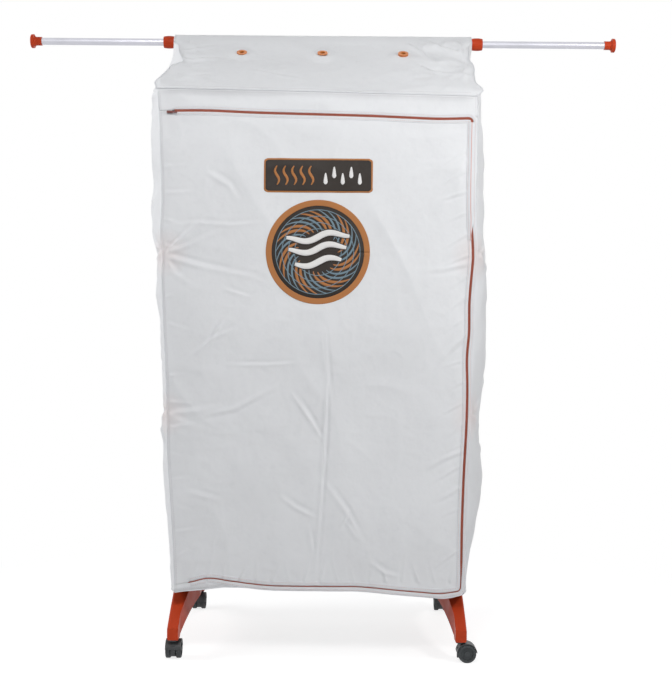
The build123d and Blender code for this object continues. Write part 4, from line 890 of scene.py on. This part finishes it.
# %% Roof sheet
vent_low, vent_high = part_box("roof_eyelets")
VENT_Y = (vent_low.y + vent_high.y) / 2
VENT_Z = (vent_low.z + vent_high.z) / 2
VENT_PITCH = 0.190
VENT_R = (vent_high.x - vent_low.x - 2 * VENT_PITCH) / 2
HOLE_SHARE = 0.72  # of the ring's radius, so that the ring covers the hole's edge
VENT_X = [vent_low.x + VENT_R, (vent_low.x + vent_high.x) / 2, vent_high.x - VENT_R]
ROOF_CREASES = [
    ([(-0.168, -0.150), (-0.090, -0.175), (-0.030, -0.196)], 2.5, 3.7, "both"),
    ([(0.190, -0.030), (0.235, -0.075), (0.262, -0.120)], 4.6, 5.0, "both"),
    ([(0.240, -0.020), (0.280, -0.060), (0.340, -0.085)], 5.2, 5.0, "both"),
    ([(0.300, -0.015), (0.325, -0.050), (0.330, -0.120)], 4.6, 5.0, "both"),
    ([(0.200, -0.110), (0.260, -0.150), (0.335, -0.165)], 2.9, 5.0, "both"),
    ([(-0.340, -0.105), (-0.300, -0.120), (-0.230, -0.105)], 5.8, 6.2, "both"),
    ([(-0.340, -0.080), (-0.300, -0.070), (-0.250, -0.050)], 4.0, 5.6, "both"),
    ([(-0.355, -0.215), (-0.300, -0.190), (-0.250, -0.180)], 2.9, 5.0, "both"),
    ([(-0.100, 0.040), (-0.040, 0.120), (0.050, 0.190)], 2.9, 5.6, "both"),
    ([(0.180, 0.050), (0.140, 0.130), (0.160, 0.200)], 2.3, 5.6, "both"),
] + scattered_folds(61, (-0.30, 0.05), (0.20, 0.12), 9)


def roof_sheet(step=0.0045):
    lower = np.linspace(-COVER_Y, -0.03, int(0.27 / step))
    crown = np.linspace(-0.03, 0.03, 20)[1:-1]
    y = np.concatenate([lower, crown, -lower[::-1]])[:, None]
    a = np.linspace(0, 1, int(0.72 / step) + 1)[None, :]
    nominal_x = -EAVES_X + 2 * EAVES_X * a
    eaves = np.where(y < 0, eaves_front_z(nominal_x), EAVES_Z + 0 * nominal_x)
    eaves = eaves + (EAVES_Z - eaves) * smooth_step(1 + y / 0.03)
    z = roof_z(y, eaves)
    left, right = roof_edge_x(-1, y, z[:, :1]), roof_edge_x(1, y, z[:, -1:])
    x = left * (1 - a) + right * a
    yy = y + 0 * x
    angle = slope_angle(eaves)
    from_gable = np.minimum(x - left, right - x)
    inner = smooth_step((COVER_Y - np.abs(yy)) / 0.02) * smooth_step(from_gable / 0.012)
    vents = np.minimum.reduce([np.hypot(x - vx, (yy - VENT_Y) / np.cos(angle)) for vx in VENT_X])
    flat = smooth_step((vents - 0.012) / 0.03)
    over_tube = smooth_step((np.abs(yy) - 0.012) / 0.03)
    sag = -0.006 * np.clip(4 * np.abs(yy) / COVER_Y * (1 - np.abs(yy) / COVER_Y), 0, 1) * over_tube
    rough = 0.0034 * crumple(x, yy, 0.075, 2) + 0.0022 * rumple(x, yy, 0.09, 3) + 0.0010 * crumple(x, yy, 0.03, 7)
    ends = smooth_step((x - 0.14) / 0.12) + 0.6 * smooth_step((-x - 0.20) / 0.10)
    rough = rough + ends * (0.0065 * crumple(x, yy, 0.05, 6) + 0.003 * crumple(x, yy, 0.024, 1))
    folds = all_creases(x, yy, ROOF_CREASES)
    crown_lift = 0.0030 * np.clip(rumple(x, x * 0, 0.045, 4), 0, 1) * smooth_step((x - 0.02) / 0.15)
    crown_lift = crown_lift * smooth_step(from_gable / 0.02) * (1 - over_tube)
    lip = EAVES_LIP * smooth_step(1 - (COVER_Y + yy) / 0.022) * smooth_step(from_gable / 0.03)
    lift = flat * inner * (sag + over_tube * (rough + folds)) + crown_lift
    normal_y = np.sign(yy) * np.sin(angle) * over_tube
    return np.stack([x, yy + lift * normal_y - lip, z + lift * np.cos(angle * over_tube)], -1)


roof_rows = roof_sheet()
in_vent = np.zeros((roof_rows.shape[0] - 1, roof_rows.shape[1] - 1), bool)
for vx in VENT_X:
    roof_rows, hole = round_hole(roof_rows, (vx, VENT_Y, VENT_Z), VENT_R * HOLE_SHARE)
    in_vent |= hole
roof = panel_mesh("roof", roof_rows, drop=in_vent)
print("roof", roof_rows.shape, "vents at", [round(x, 3) for x in VENT_X], "radius", round(VENT_R, 4))

# %% [markdown]
# ## The zip
# The zip runs over the top of the door, round a tight corner, down the right side, and back
# along the foot. It is one line, found once, and everything beside it is a strip at some
# distance from it: the two halves of the tape, the two rows of teeth, and the folded edge
# of each panel with its row of stitches. Half of each goes with the door, and half stays.


# %% The zip's line
def even_steps(points, step):
    """The same line with points that are one step apart."""
    lengths = np.concatenate([[0], np.cumsum(np.linalg.norm(np.diff(points, axis=0), axis=1))])
    at = np.linspace(0, lengths[-1], int(lengths[-1] / step) + 1)
    return np.stack([np.interp(at, lengths, points[:, k]) for k in range(points.shape[1])], -1)


def rounded(points, reach):
    """The line with its corners rounded, by averaging each point with that many neighbours each side."""
    padded = np.concatenate([np.repeat(points[:1], reach, 0), points, np.repeat(points[-1:], reach, 0)])
    kernel = np.ones(2 * reach + 1) / (2 * reach + 1)
    return np.stack([np.convolve(padded[:, k], kernel, "valid") for k in range(points.shape[1])], -1)


ZIP_STEP = 0.00125
ZIP_CORNER_Z, ZIP_FOOT_CORNER_Z = 1.2035, 0.153


def zip_line():
    top_right, foot_right = zip_side_x(ZIP_CORNER_Z), zip_side_x(ZIP_FOOT_CORNER_Z)
    top_x = np.linspace(ZIP_TOP_START, top_right, 200)
    side_z = np.linspace(float(zip_top_z(top_right)), float(zip_foot_z(foot_right)), 300)
    foot_x = np.linspace(foot_right, ZIP_FOOT_START, 200)
    runs = [(top_x, zip_top_z(top_x)), (zip_side_x(side_z), side_z), (foot_x, zip_foot_z(foot_x))]
    return rounded(even_steps(np.concatenate([np.stack(run, -1) for run in runs]), ZIP_STEP), 7)


zip_points = zip_line()
zip_tangents = np.gradient(zip_points, axis=0)
zip_tangents /= np.linalg.norm(zip_tangents, axis=1, keepdims=True)
zip_outwards = np.stack([-zip_tangents[:, 1], zip_tangents[:, 0]], -1)
zip_open = FOOT_SHARE + (1 - FOOT_SHARE) * smooth_step((zip_points[:, 1:] - 0.168) / 0.06)


def beside_zip(offset, lift, every=2):
    """Points at an offset from the zip's line, positive away from the door, and lifted off the wall."""
    reach = offset * (zip_open if abs(offset) < 3.5 * MM else 1)
    at = (zip_points + zip_outwards * reach)[::every]
    return front_points(at[:, 0], at[:, 1], lift)


def zip_strip(name, profile, material, thickness=None):
    """A strip along the zip with that section, a list of (offset, lift) pairs in millimetres."""
    rows = np.stack([beside_zip(offset * MM, lift * MM) for offset, lift in profile], 1)
    return panel_mesh(name, rows, material, thickness)


print("zip", round(len(zip_points) * ZIP_STEP, 2), "m long")

# %% [markdown]
# ## Rows of small pieces
# Teeth and stitches are the same task: hundreds of small blocks in a row. Each row is one
# mesh, made from the places, the direction of the row, and the direction out of the cloth.
# A block narrows towards its top, so that its edges catch the light as a moulded tooth or
# a pulled thread does.


# %% Rows of blocks
def block_row(name, middles, along, up, size, material, narrow=0.6, slant=0.0):
    """One mesh of blocks, each of size (along, across, up) metres, standing on its middle."""
    along = along / np.linalg.norm(along, axis=1, keepdims=True)
    across = np.cross(up, along)
    across /= np.linalg.norm(across, axis=1, keepdims=True)
    turned = along + slant * across
    corners = []
    for level, share in ((-0.35, 1.0), (1.0, narrow)):
        for a, b in ((-1, -1), (1, -1), (1, 1), (-1, 1)):
            corner = middles + turned * a * share * size[0] / 2 + across * b * share * size[1] / 2
            corners.append(corner + up * level * size[2])
    vertices = np.stack(corners, 1).reshape(-1, 3)
    faces = np.array([(3, 2, 1, 0), (4, 5, 6, 7), (0, 1, 5, 4), (1, 2, 6, 5), (2, 3, 7, 6), (3, 0, 4, 7)])
    quads = (faces[None] + 8 * np.arange(len(middles))[:, None, None]).reshape(-1, 4)
    mesh = bpy.data.meshes.new(name)
    mesh.from_pydata(vertices.tolist(), [], quads.tolist())
    mesh.materials.append(material)
    return new_object(name, mesh)


OUT_OF_FRONT = np.array([0.0, -1.0, 0.0])
STITCH = (0.0030, 0.0007, 0.0005)
STITCH_PITCH = 0.0042


def stitches(name, line, up, material):
    """A row of stitches along a line of points, standing out of the cloth in the direction up."""
    middles = even_steps(line, STITCH_PITCH)[1:-1]
    ups = up + 0 * middles if np.ndim(up) == 1 else np.stack(
        [np.interp(np.linspace(0, 1, len(middles)), np.linspace(0, 1, len(up)), up[:, k]) for k in range(3)], -1
    )
    return block_row(name, middles, np.gradient(middles, axis=0), ups, STITCH, material, 0.55, 0.12)


# %% [markdown]
# ## Thread, tape and teeth
# The tape is a dense red-brown ribbon with a fine rib across it. The teeth are a moulded
# plastic coil of nearly the same colour, with a slight shine, so the zip reads as one dark
# red line from a distance. The thread is a pale grey polyester, pinkish beside the zip.

# %% Zip and thread finishes
ZIP_RED = screen(186, 100, 78)
zip_tape_cloth, tape_tree, tape_shader = new_finish("zip_tape_cloth", ZIP_RED, 0.75, Sheen_Weight=0.2)
tape_place = add_node(tape_tree, "UVMap", uv_map="metres").outputs[0]
tape_rib = add_node(tape_tree, "TexWave", {"Vector": tape_place, "Scale": 520.0}, bands_direction="Y").outputs["Fac"]
bumped(tape_tree, tape_shader, [(tape_rib, 0.00012)])
# Painted shade: the tape is darker in the hollows of its rib.
painted_rib_shade = mixed(tape_tree, tape_rib, tuple(v * 0.75 for v in ZIP_RED), ZIP_RED)
tape_tree.links.new(painted_rib_shade, tape_shader.inputs["Base Color"])
zip_teeth_plastic = moulded("zip_teeth_plastic", screen(196, 108, 84), 0.42, 2500.0, 0.00002)


def thread(name, colour):
    strand, tree, shader = new_finish(name, colour, 0.7, Sheen_Weight=0.3)
    place = add_node(tree, "TexCoord").outputs["Object"]
    twist = noise(tree, place, 2600.0, 1.0)
    bumped(tree, shader, [(twist, 0.0001)])
    tree.links.new(mixed(tree, twist, colour, tuple(v * 0.8 for v in colour)), shader.inputs["Base Color"])
    return strand


pale_thread = thread("pale_thread", screen(214, 214, 216))
pink_thread = thread("pink_thread", screen(216, 160, 148))
piping_cloth = thread("pink_piping", screen(220, 158, 148))
print("zip colour", [round(v, 3) for v in ZIP_RED])

# %% Tape, folded edges and stitches beside the zip
FOLD_W = 9.0
fold_section = [
    (3.0, -0.5), (2.7, 0.4), (3.0, 1.1), (4.6, 1.5), (FOLD_W, 1.4), (FOLD_W + 1.5, 1.0), (FOLD_W + 2.0, 0.2)
]
zip_parts = {"door": [], "rack": []}
for body, side in (("rack", 1), ("door", -1)):
    tape = zip_strip(f"zip_tape_{body}", [(side * w, -0.2) for w in (0.15, 2.5, 5.0)], zip_tape_cloth, 0.0005)
    fold = zip_strip(f"zip_fold_{body}", [(side * w, lift) for w, lift in fold_section], binding_nylon)
    stitch_line = beside_zip(side * (FOLD_W - 1.5) * MM, 1.2 * MM)
    row = stitches(f"zip_stitches_{body}", stitch_line, OUT_OF_FRONT, pink_thread)
    tooth_at = np.arange(2 + (side > 0), len(zip_points) - 2, 2)
    middles = (zip_points + zip_outwards * zip_open * side * 1.1 * MM)[tooth_at]
    along = zip_tangents[tooth_at]
    teeth = block_row(
        f"zip_teeth_{body}", front_points(middles[:, 0], middles[:, 1], 0.2 * MM),
        np.stack([along[:, 0], 0 * along[:, 0], along[:, 1]], -1), OUT_OF_FRONT + 0 * np.zeros((len(tooth_at), 3)),
        (0.0012, 0.0030 * zip_open[tooth_at], 0.0012), zip_teeth_plastic, 0.7,
    )
    zip_parts[body] += [tape, fold, row, teeth]
print("teeth", len(tooth_at), "on each half")

# %% [markdown]
# ## The flap over the zip
# Above the middle tier, the zip's long run is hidden by a narrow flap that is sewn to the
# door side and lies over the teeth. Lower down the flap has been pushed back, and the zip
# shows. Without the flap, the red line would run all the way up, which it doesn't. A thin
# pinkish piping follows the flap's edge.

# %% Flap
FLAP_FOOT_Z = 0.932
flap_rows = (zip_points[:, 0] > 0.30) & (zip_points[:, 1] > FLAP_FOOT_Z) & (zip_points[:, 1] < 1.195)
flap_at, flap_out = zip_points[flap_rows][::3], zip_outwards[flap_rows][::3]
flap_share = smooth_step((flap_at[:, 1] - FLAP_FOOT_Z) / 0.05)
flap_section = [(-7.0, 1.6), (-6.6, 2.1), (-2.0, 2.5), (1.5, 2.4), (4.2, 2.2), (4.8, 1.7), (4.4, 1.3)]
piping_section = [(-0.9, 2.45), (-0.5, 3.0), (0.5, 3.0), (0.9, 2.45)]


def flap_strip(name, section, reach_of, material, thickness):
    """A strip along the flap with that section. reach_of gives each offset's distance from the zip, in mm."""
    columns = []
    for offset, lift in section:
        place = flap_at + flap_out * reach_of(offset)[:, None] * MM
        columns.append(front_points(place[:, 0], place[:, 1], lift * MM))
    return panel_mesh(name, np.stack(columns, 1), material, thickness)


flap = flap_strip(
    "zip_flap", flap_section, lambda mm: np.where(mm > 0, mm * flap_share - 3.0 * (1 - flap_share), mm),
    binding_nylon, 0.0005,
)
flap_seam = flap_strip(
    "zip_flap_piping", piping_section, lambda mm: 3.0 * flap_share - 3.6 + mm, piping_cloth, None
)
print("flap", round(len(flap_at) * 3 * ZIP_STEP, 2), "m long")

# %% [markdown]
# ## The slider
# The slider keeps the solid's own shape. The drawn zip sags a little below the straight run
# that the joint allows, as sewn cloth does, so the drawn slider sits lower by the same
# amount, and stands forward of the teeth, so that it passes over them from end to end.

# %% Slider on the zip
SLIDER_DROP, SLIDER_FORWARD = 0.0067, 0.0025
moulded_slider = frame["nodes"]["zip_slider"]
slider = new_object("drawn_slider", moulded_slider.data.copy())
placed = moulded_slider.matrix_world.copy()
placed.translation += Vector((0, -SLIDER_FORWARD, -SLIDER_DROP))
slider.matrix_world = placed
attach(slider, "zip_slider")
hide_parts("zip_slider")
print("slider", [round(v / MM, 1) for v in slider.dimensions], "mm")

# %% [markdown]
# ## Seams
# The panels are sewn together with a narrow binding that stands up as a thin rounded edge
# along the eaves, down the corners and up the gables. It catches the light on top and
# throws a fine shadow, which is how the photograph shows where one panel ends. Each
# binding is swept along the very points at which its two panels meet.


# %% Bindings
def binding(name, line, radius, material=binding_nylon, flat=1.0, sides=8):
    """A round edging of that radius along a line of points."""
    line = even_steps(line, 0.005)
    along = np.gradient(line, axis=0)
    along /= np.linalg.norm(along, axis=1, keepdims=True)
    start = np.array([0.0, 1.0, 0.0]) if abs(along[0][1]) < 0.7 else np.array([0.0, 0.0, 1.0])
    first = start - along * (along @ start)[:, None]
    first /= np.linalg.norm(first, axis=1, keepdims=True)
    second = np.cross(along, first)
    turn = np.linspace(0, 2 * math.pi, sides + 1)
    rows = np.stack([line + radius * (flat * first * math.cos(t) + second * math.sin(t)) for t in turn], 1)
    edging = panel_mesh(name, rows, material, None)
    body = bmesh.new()
    body.from_mesh(edging.data)
    bmesh.ops.remove_doubles(body, verts=body.verts, dist=radius * 0.05)
    bmesh.ops.contextual_create(body, geom=[e for e in body.edges if e.is_boundary and e.verts[0].index < 40])
    body.to_mesh(edging.data)
    body.free()
    return edging


eaves_line_x = np.linspace(left_corner_x(1.26), right_corner_x(1.26), 180)
corner_z = np.linspace(0.146, 1.258, 280)
seams = [
    binding("eaves_binding", front_points(eaves_line_x, eaves_front_z(eaves_line_x), 0.0006), 0.0017),
    binding("left_corner_binding", front_points(left_corner_x(corner_z), corner_z), 0.0013),
    binding("right_corner_binding", front_points(right_corner_x(corner_z), corner_z), 0.0013),
    binding("left_gable_binding", roof_rows[:, 0], 0.0014),
    binding("right_gable_binding", roof_rows[:, -1], 0.0014),
    binding("back_left_binding", left_rows[:SIDE_ROWS, -1], 0.0013),
    binding("back_right_binding", right_rows[:SIDE_ROWS, -1], 0.0013),
    binding("left_hem_binding", left_rows[0], 0.0011, cover_nylon),
    binding("right_hem_binding", right_rows[0], 0.0011, cover_nylon),
    binding("back_hem_binding", back_sheet()[0], 0.0011, cover_nylon),
]
hem_line_x = np.linspace(left_corner_x(0.145), right_corner_x(0.145), 160)
seams.append(binding("front_hem_binding", front_points(hem_line_x, hem_front_z(hem_line_x)), 0.0012, cover_nylon))
print("bindings", len(seams))

# %% [markdown]
# ## Rows of stitches
# A machine leaves one row of stitches beside each binding, one about every four
# millimetres. They are real geometry, because on a white cover they only show by their own
# small shadows, and because a bump would vanish from the side.

# %% Stitch rows
inner_x = np.linspace(-0.345, 0.340, 300)
for name, line in (
    ("band_stitches", front_points(inner_x, eaves_front_z(inner_x) - 0.0055, 0.0003)),
    ("hem_stitches", front_points(inner_x * 0.9, hem_front_z(inner_x * 0.9) + 0.006, 0.0003)),
    ("left_corner_stitches", front_points(left_corner_x(corner_z) + 0.005, corner_z, 0.0003)),
    ("right_corner_stitches", front_points(right_corner_x(corner_z) - 0.005, corner_z, 0.0003)),
):
    seams.append(stitches(name, line, OUT_OF_FRONT, pale_thread))
roof_up = np.array([0.0, -math.sin(0.62), math.cos(0.62)])
roof_seam = roof_rows[2] + roof_up * 0.0003
seams.append(stitches("roof_stitches", roof_seam[3:-3], roof_up, pale_thread))
for name, rows, side in (("left", left_rows, -1), ("right", right_rows, 1)):
    outwards = np.array([side * 1.0, 0.0, 0.0])
    seams.append(stitches(f"{name}_hem_stitches", rows[2, 2:-2] + outwards * 0.0004, outwards, pale_thread))
print("stitch rows made")

# %% [markdown]
# ## The label and the round badge
# Two prints sit in the middle of the door: a dark label with an orange edge, and under it a
# round badge. Both are thin layers laid on the drawn wall, so they follow every crease.
# The designs are plain ones in the same colours and of the same size: rising heat and
# drops of water on the label, and a fan guard with blades and waves of air on the badge.
# They are shapes, not a painted picture, so their edges stay sharp close up.


# %% Prints on the door
def print_ink(name, colour, roughness=0.6):
    ink, tree, shader = new_finish(name, colour, roughness, Specular_IOR_Level=0.25)
    place = add_node(tree, "TexCoord").outputs["Object"]
    bumped(tree, shader, [(noise(tree, place, 55.0, 3.0), 0.0004), (noise(tree, place, 1500.0, 1.0), 0.00003)])
    faded = between(tree, noise(tree, place, 60.0, 4.0, 0.65), 0.45, 0.75, 0.0, 0.35)
    tree.links.new(mixed(tree, faded, colour, tuple(v * 0.85 + 0.02 for v in colour)), shader.inputs["Base Color"])
    return ink


INK_ORANGE = print_ink("ink_orange", screen(180, 119, 70))
INK_DARK = print_ink("ink_charcoal", screen(50, 44, 40))
INK_BLUE = print_ink("ink_slate_blue", screen(120, 142, 154))
INK_WHITE = print_ink("ink_white", screen(236, 234, 232))
prints = []


def lay_print(name, x, z, lift, ink):
    """A thin layer of ink over the grid (x, z), lifted that many millimetres off the door."""
    prints.append(panel_mesh(name, front_points(x, z, lift * MM), ink, 0.00015))
    return prints[-1]


def rounded_plate(name, middle, size, corner, lift, ink):
    (cx, cz), (width, height) = middle, size
    a, b = np.meshgrid(np.linspace(-1, 1, 70), np.linspace(-1, 1, 26))
    z = cz + b * height / 2
    into = np.clip((np.abs(z - cz) - (height / 2 - corner)) / corner, 0, 1)
    x = cx + a * (width / 2 - corner * (1 - np.sqrt(1 - into**2)))
    return lay_print(name, x, z, lift, ink)


def ring(name, middle, inner, outer, lift, ink):
    degrees = np.linspace(0.0, 360.0, 120)
    turn, out = np.meshgrid(np.radians(degrees), np.linspace(inner, outer, 8))
    return lay_print(name, middle[0] + out * np.cos(turn), middle[1] + out * np.sin(turn), lift, ink)


def stroke(name, line, width, lift, ink):
    """A band of ink along a line of (x, z) points. width is one value or one for each point."""
    line = np.array(line, float)
    along = np.gradient(line, axis=0)
    along /= np.linalg.norm(along, axis=1, keepdims=True)
    across = np.stack([along[:, 1], -along[:, 0]], -1)
    half = (np.zeros(len(line)) + width)[:, None] / 2
    edges = np.stack([line + across * half * side for side in np.linspace(-1, 1, 4)], 1)
    return lay_print(name, edges[..., 0], edges[..., 1], lift, ink)


LABEL_AT, LABEL_SIZE = (-0.005, 1.073), (0.242, 0.076)
rounded_plate("label_edge", LABEL_AT, LABEL_SIZE, 0.008, 0.7, INK_ORANGE)
rounded_plate("label_ground", LABEL_AT, (LABEL_SIZE[0] - 0.007, LABEL_SIZE[1] - 0.007), 0.006, 0.9, INK_DARK)
share = np.linspace(0, 1, 24)
for k in range(5):
    wave_x = LABEL_AT[0] - 0.092 + 0.019 * k + 0.0045 * np.sin(share * 2 * math.pi)
    wave = np.stack([wave_x, LABEL_AT[1] - 0.021 + 0.042 * share], -1)
    stroke(f"label_heat_{k}", wave, 0.0058 * np.sin(math.pi * (0.12 + 0.76 * share)), 1.15, INK_ORANGE)
for k in range(5):
    drop_x, drop_z = LABEL_AT[0] + 0.016 + 0.019 * k, LABEL_AT[1] + (0.007 if k % 2 else -0.007)
    drop = np.stack([drop_x + 0 * share, drop_z - 0.013 + 0.026 * share], -1)
    drop_width = 0.0105 * np.sqrt(np.clip(1 - share, 0, 1)) * np.sqrt(np.clip(share * 5, 0, 1))
    stroke(f"label_drop_{k}", drop, drop_width, 1.15, INK_WHITE)

BADGE_AT, BADGE_R = (-0.005, 0.903), 0.116
ring("badge_edge", BADGE_AT, 0.103, BADGE_R, 0.7, INK_ORANGE)
ring("badge_ground", BADGE_AT, 0.0005, 0.1035, 0.65, INK_DARK)
for k, radius in enumerate((0.094, 0.080, 0.066, 0.052)):
    ring(f"badge_guard_{k}", BADGE_AT, radius - 0.0008, radius + 0.0008, 1.15, INK_BLUE)
BLADES = 28
for k in range(BLADES):
    turn = 2 * math.pi * k / BLADES + 0.9 * share**1.3
    out = 0.044 + 0.050 * share
    blade = np.stack([BADGE_AT[0] + out * np.cos(turn), BADGE_AT[1] + out * np.sin(turn)], -1)
    ink, width = (INK_ORANGE, 0.0062) if k % 4 in (0, 1) else (INK_BLUE, 0.0042)
    stroke(f"badge_blade_{k}", blade, width * np.sin(math.pi * (0.08 + 0.84 * share)), 0.95, ink)
tilt = math.radians(7)
for k, (shift, rise, reach) in enumerate(((0.004, 0.034, 0.070), (0.000, 0.008, 0.064), (-0.002, -0.022, 0.052))):
    along = np.linspace(-reach, reach, 44)
    bow = rise + 0.0065 * np.sin(along / 0.0155)
    wave_x = shift + along * math.cos(tilt) - bow * math.sin(tilt)
    wave = np.stack([wave_x, along * math.sin(tilt) + bow * math.cos(tilt)], -1)
    taper = np.sin(math.pi * (0.06 + 0.88 * np.linspace(0, 1, 44))) ** 0.4
    stroke(f"badge_air_edge_{k}", wave + np.array(BADGE_AT), 0.0185 * taper, 1.2, INK_DARK)
    stroke(f"badge_air_{k}", wave + np.array(BADGE_AT), 0.0140 * taper, 1.4, INK_WHITE)
print("prints", len(prints))

# %% [markdown]
# ## Bodies and stand-ins
# Each sheet takes the place of one plain CAD wall, and moves with the body that wall is on.

# %% Sheets on their bodies
hinge_low, hinge_high = Vector((-HEM_X, -COVER_Y, HEM_Z)), Vector((-EAVES_X, -COVER_Y, EAVES_Z))
hinge_along = (hinge_high - hinge_low).normalized()
hinge_across = Vector((hinge_along.z, 0, -hinge_along.x))
bend_start = hinge_low + hinge_across * 0.002
bend_end = hinge_low + hinge_across * 0.040


for piece in [door] + zip_parts["door"] + [flap, flap_seam]:
    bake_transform(piece, "rack", "door", start=bend_start, end=bend_end)
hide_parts("door_panel")
for piece in prints:
    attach(piece, "door")
for piece in seams + zip_parts["rack"]:
    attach(piece, "rack")
for piece in zip_parts["rack"]:
    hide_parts("zip_tape")
for piece, node in (
    (band, "cover_front"), (stile, "cover_front"), (hem, "cover_front"), (left_side, "cover_side_left"),
    (right_side, "cover_side_right"), (back, "cover_back"), (roof, "cover_roof"),
):
    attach(piece, "rack")
    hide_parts(node)

# %% [markdown]
# ## Box corners
# A box is turned into a list of its corners, as plain numbers. Cloth folds and hangs, but
# it doesn't stretch.


# %% Keep both boxes and finish
def corners(box):
    return [[float(v) for v in corner] for corner in box]
